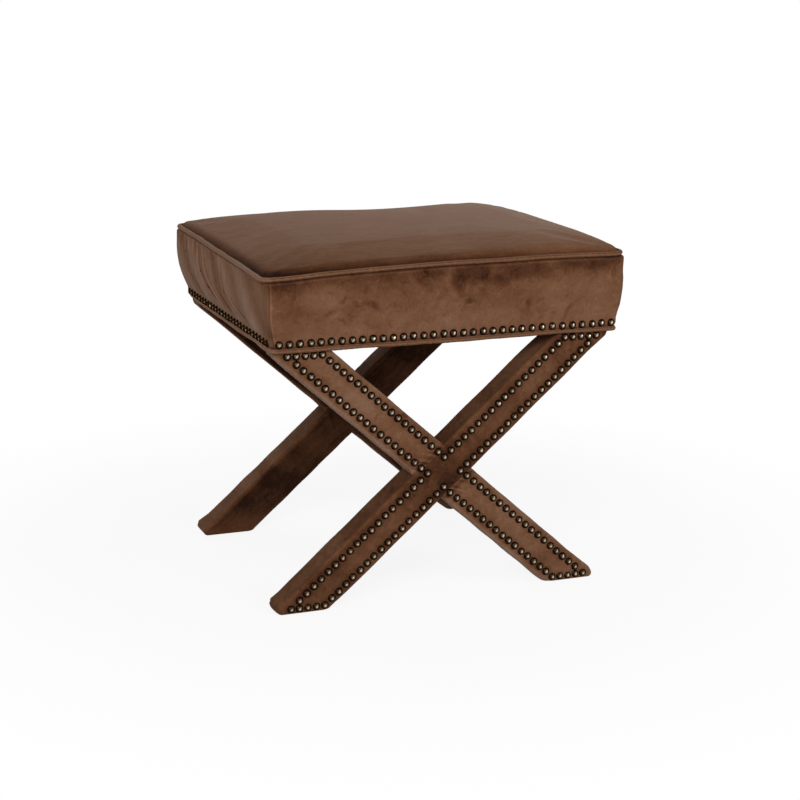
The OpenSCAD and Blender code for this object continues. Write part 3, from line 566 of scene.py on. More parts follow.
class STOOL_OT_seat_top(bpy.types.Operator):
    """Crowned velvet top with the padding under it"""
    bl_idname = "stool.seat_top"
    bl_label = "Seat top"

    def execute(self, context):
        sizes = context.scene.stool_sizes
        nx, ny = TOP_GRID
        a, b = np.meshgrid(*(0.5 * np.sin(np.pi / 2 * t) + 0.5 * t for t in
                             (np.linspace(-1, 1, nx), np.linspace(-1, 1, ny))))
        half, front, back = (float(v) for v in seat_outline(np.array(1.0)))
        half_y, middle = (back - front) / 2, (front + back) / 2
        r = sizes.corner_radius
        p = np.clip((np.abs(a) * half - (half - r)) / r, 0, 1)
        q = np.clip((np.abs(b) * half_y - (half_y - r)) / r, 0, 1)
        x = np.where(p * q > 0, np.sign(a) * (half - r + r * p * np.sqrt(1 - q * q / 2)), a * half)
        y = np.where(p * q > 0, np.sign(b) * (half_y - r + r * q * np.sqrt(1 - p * p / 2)), b * half_y)
        along_x, along_y = (a + 1) / 2, (b + 1) / 2
        # The padding's crown reaches over the welt, and the cover dips to its seam just behind that
        u, v = x / (half + 5.5 * MM), y / (half_y + 6 * MM)
        crown = ((1 - np.abs(u) ** 4.5) * (1 - np.abs(v) ** 4.5)) ** 0.4
        from_x, from_y = half * (1 - np.abs(a)), half_y * (1 - np.abs(b))
        inside = np.minimum(from_x, from_y)
        rise = (3.4 * MM + (sizes.crown - 3.8 * MM) * crown) * (1 - fading(inside, 2.2 * MM))
        # The padding is fuller towards the right, and towards the middle of the back
        fuller = (3.5 * MM * ease((along_x - 0.45) / 0.45)
                  + 2.2 * MM * bell(along_x - 0.32, 0.24) * bell(along_y - 0.85, 0.3))
        rise = rise + fuller * ease(inside / (14 * MM))
        # Small pulls that run in from each corner and from the seam, and a slow unevenness of the padding
        turn = np.arctan2(from_y, from_x + 1e-6)
        pull = bell(np.hypot(from_x, from_y), 26 * MM) * ease(inside / (5 * MM))
        rise = rise + pull * 0.9 * MM * np.sin(9 * turn + 1.3 * np.sign(a) + 0.7 * np.sign(b))
        puckers = ripples(x, y, 9, 22, 0.0, 8, 5) + ripples(y, x, 9, 22, 0.0, 8, 6)
        rise = rise + 0.07 * MM * puckers * fading(inside, 16 * MM) * ease(inside / (3 * MM))
        slow = ripples(x, y, 120, 300, 0.5, 6, 7)
        rise = rise + 0.9 * MM * slow * ease(inside / (40 * MM))
        # The cover is tucked in beside the front left corner
        tuck = bell(x + half - 14 * MM, 13 * MM) * bell(y + half_y - 7 * MM, 6 * MM)
        rise = rise - 2.6 * MM * tuck
        x = stretch(x, 1.0)
        top = np.stack([x, y + middle, seam_height(along_x, along_y) - 1.6 * MM + rise], axis=-1)
        floor = np.stack([x * 0.985, y * 0.985 + middle, np.full(x.shape, DECK_HIGH.z + 0.2 * MM)], axis=-1)
        points = np.concatenate([top.reshape(-1, 3), floor.reshape(-1, 3)])
        quads = strip_quads(ny, nx, round_columns=False)
        size = nx * ny
        grid = np.arange(size).reshape(ny, nx)
        loop = np.concatenate([grid[0, :-1], grid[:-1, -1], grid[-1, :0:-1], grid[:0:-1, 0]])
        on = np.roll(loop, -1)
        skirt = np.stack([loop + size, on + size, on, loop], axis=-1)
        # The pile lies towards the back right, and painted light follows it: darker at the front left,
        # lighter there;
        # painted shade darkens the valley at the seam, the border towards the front and the left, and the
        # tuck, and the padding's swells are painted a little lighter
        nap = (0.45 + 0.26 * along_x ** 1.6 + 0.10 * along_y + 0.20 * along_y * (1 - 0.6 * along_x)
               - 0.08 * bell(along_x, 0.18) + 0.02 * slow - 0.42 * fading(inside, 4.5 * MM)
               - 0.07 * fading(inside, 22 * MM) * (1 - along_y) - 0.25 * tuck)
        nap = np.concatenate([nap.ravel(), np.full(size, 0.4)])
        piece = make_piece("seat_top", points, [quads, quads[:, ::-1] + size, skirt],
                           cloth=points[:, [1, 0, 2]], nap=nap, brush=0.35)
        border = np.clip(1.05 - inside / PADDING_BORDER, 0, 1).ravel()
        stuffed(piece, np.concatenate([border, np.ones(size)]))
        smooth = piece.modifiers.new("smooth", "SUBSURF")
        smooth.levels = smooth.render_levels = 1
        settle(piece, "velvet", "seat_top_panel", "seat_batting", "seat_foam")
        return {"FINISHED"}


# Columns of the side band's ring along its right side, back, left side and front, and round each corner,
# and the thickness of its cloth
BAND_COLUMNS, BAND_WALL = (220, 200, 400, 320, 22), 1.4 * MM

# Long folds of the side's cloth, in millimetres: depth and height where each starts and ends, how late it
# bends towards the front, its half width and its depth
SIDE_FOLDS = (
    (184, 462, 186, 436, 1.0, 2.2, 1.3), (156, 462, 154, 434, 1.0, 2.4, 1.4),
    (133, 462, 131, 438, 1.0, 2.2, 1.2), (110, 462, 111, 434, 1.2, 2.4, 1.2),
    (88, 462, -4, 384, 2.8, 3.0, 2.2), (66, 462, -30, 385, 1.9, 2.8, 1.6),
    (29, 462, -8, 412, 1.6, 3.2, 0.9), (12, 420, -48, 384, 1.4, 2.6, 1.5),
    (-20, 462, -48, 408, 1.6, 3.4, 0.7),
    (-34, 416, -90, 385, 1.4, 2.4, 1.5), (-55, 414, -104, 388, 1.4, 2.2, 0.8),
    (-68, 412, -122, 385, 1.4, 2.4, 1.1), (150, 415, 96, 386, 1.3, 3.0, 0.5),
    (60, 418, 20, 386, 1.4, 2.2, 0.8),
)

# Places on the front that look darker, in millimetres: where the pile was brushed the other way, and in the
# long, level marks just under the welt, painted shade. Columns: place, height, half length, half width, tilt
# in degrees and how much darker it looks
PILE_MARKS_AND_SHADE = (
    (-170, 411, 7, 3.2, 30, 0.20), (-153, 400, 14, 2.8, -26, 0.14), (-111, 419, 13, 4.2, -22, 0.17),
    (-118, 439, 13, 3.4, 62, 0.06), (27, 415, 8, 5.4, 25, 0.26), (114, 408, 6.5, 3.8, 80, 0.17),
    (176, 396, 14, 3.0, 54, 0.17), (-2, 446, 19, 7.0, 88, -0.12), (62, 450, 12, 5.5, 80, -0.11),
    (-38, 448, 17, 10.0, 104, 0.13), (36, 450, 34, 11.0, 3, 0.29), (108, 450, 44, 11.0, 4, 0.24),
    (12, 432, 17, 6.0, -52, 0.10), (48, 434, 15, 6.0, 70, 0.08), (-4, 402, 12, 4.0, 30, 0.06),
    (190, 455, 60, 10.0, 2, 0.11), (-226, 426, 22, 32.0, -8, 0.12), (60, 398, 34, 12.0, 20, -0.05),
    (-195, 402, 48, 28.0, 10, 0.08), (170, 418, 50, 22.0, 14, -0.07), (18, 396, 7, 12.0, 0, 0.05),
)


def side_folds(y, z):
    """Pushes of the side's long folds: along each path, which runs from its start to its end and bends
    towards the front as a power of the way down, a groove with a ridge beside it, both bell-shaped."""
    total = np.zeros(np.broadcast(y, z).shape)
    for start_y, start_z, end_y, end_z, bend, width, depth in SIDE_FOLDS:
        t = (start_z * MM - z) / ((start_z - end_z) * MM)
        way = np.clip(t, 0.02, 1)
        path = (start_y + (end_y - start_y) * way ** bend) * MM
        lean = (end_y - start_y) / (start_z - end_z) * bend * way ** (bend - 1)
        away = (y - path) / np.sqrt(1 + lean ** 2) / (0.85 * width * MM)
        fade = ease((t + 0.02) / 0.12) * ease((1.03 - t) / 0.25)
        total = total + depth * MM * fade * (0.7 * bell(away - 1.8, 1) - bell(away, 1))
    return total


def pile_marks_and_shade(x, z):
    """How much darker the front looks at places, from brushed pile and from painted shade under the welt: a
    bell-shaped mark, longer than wide, bowed and tilted, for each row of the table above."""
    total = np.zeros(np.broadcast(x, z).shape)
    for place, height, reach, width, tilt, strength in PILE_MARKS_AND_SHADE:
        c, s = np.cos(np.radians(tilt)), np.sin(np.radians(tilt))
        right, up = x - place * MM, z - height * MM
        on = right * c + up * s
        across = (up * c - right * s + 0.25 * on ** 2 / (reach * MM)) / (width * MM)
        total = total + strength * np.exp(-((on / (reach * MM)) ** 2 + across ** 2) ** 1.3)
    return total


class STOOL_OT_seat_boxing(bpy.types.Operator):
    """Velvet side band, gathered at the sides and seamed near its corners"""
    bl_idname = "stool.seat_boxing"
    bl_label = "Seat side band"

    def execute(self, context):
        sizes = context.scene.stool_sizes
        columns = ring_columns(*BAND_COLUMNS)
        out_x, out_y, station = columns[2:]
        share = np.concatenate([np.linspace(0, 0.12, 8, endpoint=False),
                                np.linspace(0.12, 0.86, 34, endpoint=False), np.linspace(0.86, 1, 20)])
        share = share[:, None]
        half, front, back = seat_outline(share)
        x, y = ring_points(columns, half, front, back, sizes.corner_radius)
        x = stretch(x, share)
        # The padding swells less beside the front left corner
        to_corner = np.hypot(x[0] + half[0], y[0] - front[0])
        x = x + 0.55 * (half - half[0]) * bell(to_corner, 70 * MM)
        top = welt_line(station) - 1.2 * MM
        z = sizes.seat_underside + share * (top - sizes.seat_underside)
        run = along_line(x[0], y[0])
        up = z - sizes.seat_underside
        side = np.abs(out_x)
        face = 1 - side
        left = np.where(out_x < 0, side, 0)
        folds = ripples(run, up, 5, 9, 0.10, 9, 11)
        broad = ripples(run, up, 14, 30, 0.25, 7, 12)
        slow = ripples(run, up, 70, 170, 0.6, 7, 13)
        near_top = fading(1 - share, 0.16)
        body = ease((share - 0.12) / 0.1)
        # The left side is gathered most; the right side carries the same folds more weakly
        rear = 0.25 + 0.75 * ease((y + 40 * MM) / (170 * MM))
        gathers = rear * (0.35 * broad - 0.8 * near_top * np.abs(folds)) * MM + 1.3 * side_folds(y, z)
        push = side * np.where(out_x > 0, 0.30, 1.0) * ease((1 - share) / 0.03) * gathers
        push = push + (0.08 * face * broad * near_top + 0.9 * slow * ease((1 - share) / 0.12)) * MM
        push = push * body
        # Upright seams join the band's four lengths at the corners
        corners = np.interp((1, 2, 3, 4), station, run)[:, None] + 1.5 * MM
        seams = bell(run - corners, 1.0 * MM).sum(axis=0)
        ridges = bell(run - corners - 2.4 * MM, 1.3 * MM).sum(axis=0)
        push = push - (seams - ridges) * 0.6 * MM * ease(share / 0.04)
        # The nails, which lie in the lowest rows, draw the cloth in
        low = slice(0, 9)
        dimples = np.zeros_like(x)
        for node, axis in SEAT_NAILS:
            middles = nail_places(node, axis)
            away = ((x[low, :, None] - middles[:, 0]) ** 2 + (y[low, :, None] - middles[:, 1]) ** 2
                    + (z[low, :, None] - middles[:, 2]) ** 2).min(-1)
            dimples[low] = np.maximum(dimples[low], np.exp(-away / (6.5 * MM) ** 2))
        crease = bell(up - 1.5 * MM, 1.6 * MM)
        push = push + (1 - dimples) * 0.9 * MM * bell(up - 6.4 * MM, 6 * MM) - crease * 0.8 * MM
        # Just under the welt the cloth lies over the seam's folded edge, then falls in
        below = top - z
        fold = bell(below - 4.4 * MM, 1.5 * MM) * (1 - 0.75 * side)
        push = push + 0.9 * MM * fold - 1.2 * MM * np.sqrt(np.clip(1 - below / (3.2 * MM), 0, 1))
        shell = np.stack([x + out_x * push, y + out_y * push, z], axis=-1)
        # The hem turns under, and the back of the cloth closes the band
        backs = shell[::-1] - BAND_WALL * np.stack([out_x, out_y, 0 * out_x], axis=-1)
        lining = backs[np.linspace(0, len(share) - 2, 8).astype(int)]
        h, f, k = seat_outline(np.array([0.0]))
        hem = []
        for inset, lift in ((1.9 * MM, 1.6 * MM), (8.2 * MM, 1.6 * MM), (8.2 * MM, 0.0)):
            ix, iy = ring_points(columns, h - inset, f + inset, k - inset,
                                 max(sizes.corner_radius - inset, 2 * MM))
            height = np.full(len(station), sizes.seat_underside + lift)
            hem.append(np.stack([stretch(ix, 0.0), iy, height], axis=-1))
        rows = np.concatenate([lining, hem, shell])
        hidden = len(lining) + len(hem)
        cloth = np.stack([np.broadcast_to(run, x.shape), up, 0 * x], axis=-1)
        cloth = np.concatenate([np.repeat(cloth[:1], hidden, axis=0), cloth])
        # Painted shade in the seam and the band under the welt, in the creases, at the nails and beside the
        # front left corner; painted highlights on the folded edge and the seam ridges; and darker marks on
        # the front, partly brushed pile and partly painted shade under the welt
        dark = (0.20 * bell(below - 1.8 * MM, 1.6 * MM) + (0.06 + 0.20 * face) * bell(below, 16 * MM)
                - 0.14 * fold + 0.30 * crease + 0.12 * dimples + 0.03 * seams - 0.14 * ridges
                + 0.20 * left * bell(y + out_y * push - front, 26 * MM)
                + np.where(out_y < 0, face, 0) * pile_marks_and_shade(x + out_x * push, z))
        # Painted light: the folds on the sides are lighter where they stand out and darker in their grooves,
        # the left side is painted lighter, and the front a little darker than the sides and towards the top
        nap = (0.50 - 0.037 * face + 120 * side * push - dark + 0.03 * slow + 0.14 * left
               + 0.06 * face * (0.5 - share))
        nap = np.concatenate([np.full((hidden, len(station)), 0.3), np.clip(nap, 0.13, 1)])
        brush = np.broadcast_to(1.15 - 0.7 * side, nap.shape)
        piece = make_piece("seat_side_band", rows, [strip_quads(len(rows), len(station), round_rows=True)],
                           cloth=cloth, nap=nap, brush=brush)
        settle(piece, "velvet", "seat_boxing")
        return {"FINISHED"}


# Columns of the welts' and the leg sleeves' rings, as for the side band, and points round a welt
WELT_COLUMNS, SLEEVE_COLUMNS, WELT_ROUND = (200, 240, 200, 240, 14), (28, 26, 28, 26, 7), 20


def welt_tube(name, columns, middle_x, middle_y, middle_z, radius, seed, node):
    """A covered cord: a circle of the given radius carried along a closed line, whose radius wanders a
    little and whose cover is drawn into slanting folds."""
    angle = np.linspace(0, 2 * np.pi, WELT_ROUND, endpoint=False)[:, None]
    run = along_line(middle_x, middle_y)
    folds = ripples(run + 4 * MM * angle, run * 0, 5, 12, 0.0, 8, seed)
    left = np.clip(-columns[2], 0, 1)
    r = radius * (1 + 0.05 * waves(run / run[-1], 12, 70, seed) + 0.035 * folds + 0.10 * left)
    x = middle_x + columns[2] * r * np.cos(angle)
    y = middle_y + columns[3] * r * np.cos(angle)
    z = middle_z + r * np.sin(angle)
    cloth = np.stack(np.broadcast_arrays(run, radius * angle, 0 * angle), axis=-1)
    # Painted highlight on the cord's upper shoulder, painted shade in the groove above it, below it and
    # behind it, and the left cord painted lighter
    nap = (0.47 + 0.05 * folds + 0.14 * bell(angle - 1.2, 0.5) + 0.17 * left
           - 0.24 * (1 - left) * bell(angle - 0.62, 0.28) + 0.08 * bell(angle - 0.05, 0.4)
           - 0.30 * np.clip(-np.cos(angle), 0, 1) - 0.16 * bell(angle - 4.9, 0.7))
    piece = make_piece(name, np.stack([x, y, z], axis=-1),
                       [strip_quads(WELT_ROUND, len(run), round_rows=True)],
                       cloth=cloth, nap=np.clip(nap, 0, 1), brush=0.5)
    return settle(piece, "velvet", node)


class STOOL_OT_welts(bpy.types.Operator):
    """Covered cords along the seat's top and bottom seams"""
    bl_idname = "stool.welts"
    bl_label = "Welts"

    def execute(self, context):
        sizes = context.scene.stool_sizes
        columns = ring_columns(*WELT_COLUMNS)
        out_x, out_y, station = columns[2:]

        def line(share, out):
            half, front, back = seat_outline(np.array([share]))
            x, y = ring_points(columns, half + out, front - out, back + out, sizes.corner_radius + out)
            return stretch(x, share), y

        x, y = line(1.0, sizes.welt_radius + 0.2 * MM)
        wander = 0.5 * MM * waves(station / 4, 5, 30, 21)
        welt_tube("top_welt_cord", columns, x + out_x * wander, y + out_y * wander,
                  welt_line(station), sizes.welt_radius, 22, "top_welt")
        x, y = line(0.0, -1.0 * MM)
        wander = 0.7 * MM * waves(station / 4, 5, 34, 23)
        # Towards the rear left corner the hem is drawn in, and its left side is lifted
        x = x + 3.6 * MM * bell(np.hypot(x - x.min(), y - y.max()), 45 * MM)
        dip = 0.5 * MM * waves(station / 4, 3, 26, 24)
        dip = dip + 1.3 * MM * np.clip(-out_x, 0, 1) * ease((y + 120 * MM) / (200 * MM))
        welt_tube("bottom_welt_cord", columns, x + out_x * wander, y + out_y * wander,
                  sizes.seat_underside - 0.8 * sizes.welt_radius + dip, 1.08 * sizes.welt_radius, 25,
                  "bottom_welt")
        return {"FINISHED"}


# ---------------------------------------------------------------- the legs

# Painted light and shade of each sleeve: tones of its outer face, its inner face, and its sides along the
# leg's upper and lower edge, each set by how lit or shaded that face is
SLEEVE_SHADE_TONES = {
    "front_leg_b": (0.29, 0.20, 0.31, 0.42), "rear_leg_b": (0.46, 0.09, 0.44, 0.30),
    "front_leg_a_upper": (0.47, 0.22, 0.46, 0.80), "rear_leg_a_upper": (0.48, 0.14, 0.34, 0.50),
    "front_leg_a_lower": (0.50, 0.24, 0.46, 0.82), "rear_leg_a_lower": (0.48, 0.14, 0.34, 0.50),
}

# Radius of a sleeve's ends, the seam's gap beside the crossing, half the padded width between the nails,
# and radii of the foot's acute corner, on the leg's upper edge, and its obtuse one, on the lower edge
ROUND_END, CROSS_GAP, PAD_HALF = 3.0 * MM, 3.5 * MM, 13.5 * MM
TIP_RADIUS, HEEL_RADIUS = 6.5 * MM, 13.0 * MM

# Distance between a sleeve's rings, the fewest of them, and the angles of those that round its ends
RING_STEP, FEWEST_RINGS, ROUND_ANGLES = 2.2 * MM, 20, (90, 68, 45, 22, 0)


class LegLine:
    """Where a leg lies: its slope, the crossing's height, and its way along and across, from the frame."""

    def __init__(self, hand, front):
        self.half = bpy.context.scene.stool_sizes.leg_width / 2
        self.slope, self.cross = frame_lines()
        self.sin, self.cos = np.sin(self.slope), np.cos(self.slope)
        self.hand = hand
        self.front = front
        low, high = (LEG_LOW, LEG_HIGH) if front else (REAR_LOW, REAR_HIGH)
        self.depth = (high.y - low.y) / 2
        self.middle = (high.y + low.y) / 2

    def place(self, along, across, deep):
        """Points of the frame at distances along the leg from the crossing, across it and front to back."""
        x = self.hand * (along * self.cos - across * self.sin)
        z = self.cross + along * self.sin + across * self.cos
        return np.stack(np.broadcast_arrays(x, self.middle + deep, z), axis=-1)

    def foot(self, across):
        """Where the leg meets the floor, at places across it."""
        return -(self.cross + across * self.cos) / self.sin

    def head(self, across):
        """Where the leg ends at the top, at places across it: cut level, and upright at the seat's side."""
        level = (LEG_HIGH.z - self.cross - across * self.cos) / self.sin
        return np.minimum(level, (LEG_HIGH.x + across * self.sin) / self.cos)

    def crossing(self, across, side):
        """Where this leg meets the other one's edge, above (side 1) or below (side -1) the crossing."""
        return (side * self.half - across * np.cos(2 * self.slope)) / np.sin(2 * self.slope)

    def foot_rounding(self, across):
        """How much further up the leg the foot's end line lies near its two corners. Each corner is drawn
        round a circle that touches the leg's edge and the floor's line."""
        lift = np.zeros_like(across)
        for radius, sign, angle in ((TIP_RADIUS, 1, self.slope), (HEEL_RADIUS, -1, np.pi - self.slope)):
            reach = radius / np.tan(angle / 2)
            inside = self.half - sign * across
            near = inside < reach * np.sin(self.slope)
            away = np.clip(radius - inside, -radius, radius)
            arc = self.foot(sign * self.half) + reach - np.sqrt(radius ** 2 - away ** 2)
            lift = lift + np.where(near, np.maximum(arc - self.foot(across), 0), 0)
        return lift


# Ways between two neighbouring nails on a leg's upper arm: how long, and how steep in degrees
NAIL_STEP, ARM_LEAN = (11.5 * MM, 15 * MM), (34, 49)


def frame_lines():
    """Slope of the legs and height of their crossing. The slope is the middle one of the ways between
    neighbouring nails on the front frame's upper right arm, and the crossing lies halfway between the two
    nails that stand above and below it."""
    places = nail_places(*LEG_NAILS[0])
    cross = places[np.abs(places[:, 0]) < 1 * MM, 2].mean()
    arm = places[(places[:, 0] > 40 * MM) & (places[:, 2] > 200 * MM)]
    way = arm[None, :, :] - arm[:, None, :]
    distance = np.hypot(way[..., 0], way[..., 2])
    lean = np.arctan2(way[..., 2], way[..., 0])
    near = (distance > NAIL_STEP[0]) & (distance < NAIL_STEP[1])
    near &= (lean > np.radians(ARM_LEAN[0])) & (lean < np.radians(ARM_LEAN[1]))
    return float(np.median(lean[near])), float(cross)


def sleeve_rings(steps, depth):
    """Rings of a sleeve from end to end: each one's share of the way, its inset and how far it stops short
    of the end line. At each end four rings close the sleeve and five round it."""
    bend = np.radians(ROUND_ANGLES)
    closing = ROUND_END + (depth - ROUND_END) * np.array([0.85, 0.6, 0.3, 0.1])
    inset = np.concatenate([closing, ROUND_END * (1 - np.cos(bend))])
    short = np.concatenate([0 * closing, ROUND_END * (1 - np.sin(bend))])
    inner = np.linspace(0, 1, steps)[1:-1]
    shares = np.concatenate([0 * inset, inner, 0 * inset + 1])
    insets = np.concatenate([inset, 0 * inner, inset[::-1]])
    shorts = np.concatenate([short, ROUND_END * np.maximum(1 - inner, inner), short[::-1]])
    return shares[:, None], insets[:, None], shorts[:, None]


def leg_sleeve(name, leg, start, end, nails, seed, *nodes):
    """A velvet sleeve: the leg's rounded section carried from one end line to the other, each end line
    being a function of the place across the leg. Between the rows of nails the face is padded, each nail
    draws it in, the long edges are soft, and the ends are rounded and closed."""
    sizes = bpy.context.scene.stool_sizes
    foot_end, head_end = start == leg.foot, end == leg.head
    sx, sy, nx, ny = ring_columns(*SLEEVE_COLUMNS)[:4]
    whole = float(np.abs(end(0.0) - start(0.0)))
    shares, insets, shorts = sleeve_rings(max(int(whole / RING_STEP), FEWEST_RINGS), leg.depth)
    toe = (4.5 if leg.front else 0.5) * MM * bell(shares * whole, 20 * MM) if foot_end else 0.0
    r = np.maximum(sizes.leg_edge + toe - insets, 0.3 * MM)
    across = sx * (leg.half - insets - r) + nx * r
    deep = sy * (leg.depth - insets - r) + ny * r
    near = np.clip(across, -leg.half, leg.half)
    low_line, high_line = start(near), end(near)
    if foot_end:
        low_line = low_line + leg.foot_rounding(near)
    along = low_line + shorts * (1 - shares) + (high_line - low_line - shorts) * shares
    along = np.where(shares <= 0, low_line + shorts, np.where(shares >= 1, high_line - shorts, along))
    # Shares of the outer face, the inner face and the two sides in each column
    outer = -1 if leg.front else 1
    on_face, on_back, on_side = np.clip(ny * outer, 0, 1), np.clip(-ny * outer, 0, 1), np.abs(nx)
    body = (insets <= 0) * 1.0
    from_low, from_high = along - low_line, high_line - along
    # Padding between the rows of nails on the outer face, and soft sides
    ends = ease(from_low / (14 * MM)) * ease(from_high / (14 * MM))
    pad = np.clip(1 - (across / PAD_HALF) ** 2, 0, 1) ** 0.7
    push = on_face * pad * 1.3 * MM * (0.3 + 0.7 * ends)
    push = push + on_back * 0.8 * MM * np.clip(1 - (across / leg.half) ** 2, 0, 1)
    # The wadding lies thicker on the sides that look to the left
    upper_side, lower_side = (1.3, -0.6) if leg.hand > 0 else (0.2, 1.5 if leg.front else -0.2)
    fuller = np.where(nx > 0, upper_side, lower_side) * ease(from_high / (40 * MM))
    push = push + on_side * MM * (0.7 * np.clip(1 - (deep / leg.depth) ** 2, 0, 1) + fuller)
    points = leg.place(along, across, deep)
    away = ((points[:, :, None, 0] - nails[:, 0]) ** 2 + (points[:, :, None, 2] - nails[:, 2]) ** 2).min(-1)
    dimples = np.exp(-away / (6.2 * MM) ** 2) * on_face
    push = push - dimples * 0.9 * MM
    slow = ripples(along, across, 40, 120, 0.5, 7, seed)
    folds = ripples(along, across + deep, 7, 16, 0.4, 8, seed + 1)
    patchy = np.clip(ripples(along, across, 60, 160, 0.3, 5, seed + 2), 0, 1)
    push = push + 0.28 * MM * slow + (0.03 + 0.11 * patchy) * MM * folds * (0.4 + 0.6 * on_side)
    # The covers of leg a are bunched where they meet leg b
    from_cross = from_high if foot_end else from_low
    creases = ripples(across + deep, along, 5, 10, 0.5, 6, seed + 3)
    creases = creases * bell(from_cross, 20 * MM) * (leg.hand < 0)
    push = push + 0.9 * MM * creases * (0.2 + 0.8 * on_side)
    push = push * body
    across = across + nx * push
    deep = deep + ny * push
    points = leg.place(along, across, deep)
    if foot_end:
        # The toe's padding bulges out past the leg's end
        full = (1 - (0.6 if leg.front else 0.1) * (deep / leg.depth) ** 2) * bell(from_low, 13 * MM)
        bulge = (4.8 if leg.hand > 0 else 2.2) * MM
        points[..., 0] -= leg.hand * bulge * full * ease((across / leg.half + 0.2) / 0.9)
    points[..., 2] = np.maximum(points[..., 2], 0.0)
    # Each face's tone is painted light and shade: the inner faces are painted darkest, as in shade
    face_tone, inner_tone, upper_tone, lower_tone = SLEEVE_SHADE_TONES[name]
    side_tone = np.where(nx > 0, upper_tone, lower_tone)
    shade = ((face_tone * on_face + inner_tone * on_back + side_tone * on_side)
             / (on_face + on_back + on_side))
    # A painted highlight along the seam under the leg, with painted shade beside it, and painted highlights
    # along the long edges
    seam = outer * deep - 5 * MM
    line = (bell(seam, 1.4 * MM) - 2.2 * bell(seam + 3 * MM, 1.6 * MM)) * (nx < -0.9)
    edge = bell(np.abs(ny) - 0.6, 0.22) * (0.35 + 0.65 * on_face)
    # Painted shading: lighter where the cloth is pushed out, darker at the nails, in the bunched creases and
    # near the crossing, and, at the end that meets the crossing and on leg b at the seat, a painted highlight
    # on the rounded edge with a painted shadow band just beyond it
    nap = (shade + 40 * (push - on_side * fuller * MM) * body - 0.09 * dimples + 0.03 * slow + 0.12 * line
           + (0.06 if leg.hand > 0 else 0.20) * edge + 0.14 * creases - 0.16 * bell(along, 34 * MM)
           + (0.10 * fading(from_cross, 1.5 * MM) - 0.20 * bell(from_cross - 6 * MM, 3.5 * MM)) * on_face)
    if not leg.front:
        # Painted shade on the rear legs' inner sides: darkest above the foot, lighter at the foot itself,
        # and, in the seat's shade, dark at the top
        nap = nap - 0.13 * on_back * bell(from_low - 112 * MM, 52 * MM)
        nap = nap + 0.12 * on_back * bell(from_low, 45 * MM) * foot_end
        nap = nap - head_end * (0.14 * on_back + 0.08 * on_side) * bell(from_high, 150 * MM)
    rows, count = across.shape
    round_way = along_line(across[rows // 2], deep[rows // 2])
    cloth = np.stack([np.broadcast_to(round_way, along.shape) + seed * 0.37, along, 0 * along], axis=-1)
    brush = 1.15 - (0.0 if leg.front else 0.6) * on_back + 0 * along
    loop = np.arange(count)
    last = (rows - 1) * count + loop
    faces = [strip_quads(rows, count), cap_faces(loop, rows * count),
             cap_faces(last[::-1], rows * count + 1)]
    points = np.concatenate([points.reshape(-1, 3), [points[0].mean(axis=0), points[-1].mean(axis=0)]])
    piece = make_piece(name + "_sleeve", points, faces,
                       cloth=np.concatenate([cloth.reshape(-1, 3), cloth[0, :1], cloth[-1, :1]]),
                       nap=np.concatenate([np.clip(nap, 0, 1).ravel(), [0.4, 0.4]]),
                       brush=np.concatenate([brush.ravel(), [1.0, 1.0]]))
    settle(piece, "velvet", *nodes)


class STOOL_OT_leg_sleeves(bpy.types.Operator):
    """Velvet sleeves on the four crossing legs, over their wadding"""
    bl_idname = "stool.leg_sleeves"
    bl_label = "Leg sleeves"

    def execute(self, context):
        for node, axis in LEG_NAILS:
            nails = nail_places(node, axis)
            front = axis < 0
            legs, seed = ("front_leg", 31) if front else ("rear_leg", 61)
            leg, other = LegLine(1, front), LegLine(-1, front)
            leg_sleeve(f"{legs}_b", leg, leg.foot, leg.head, nails, seed,
                       f"{legs}_b_cover", f"{legs}_b_wadding")
            leg_sleeve(f"{legs}_a_upper", other, lambda c: other.crossing(c, 1) - CROSS_GAP, other.head,
                       nails, seed + 10, f"{legs}_a_upper_cover", f"{legs}_a_wadding")
            leg_sleeve(f"{legs}_a_lower", other, other.foot, lambda c: other.crossing(c, -1) + CROSS_GAP,
                       nails, seed + 20, f"{legs}_a_lower_cover")
        return {"FINISHED"}


# Half section of a nail's head from its underside to near its top: shares of its radius and of its rise
NAIL_PROFILE = ((0.86, -0.10), (1.0, 0.02), (0.99, 0.20), (0.86, 0.52), (0.62, 0.80), (0.42, 0.91),
                (0.2, 0.98))

# How unevenly the nails are driven: spreads of their slope, their place and their size
NAIL_LEAN, NAIL_SHIFT, NAIL_SIZE = 0.05, 0.28 * MM, 0.015


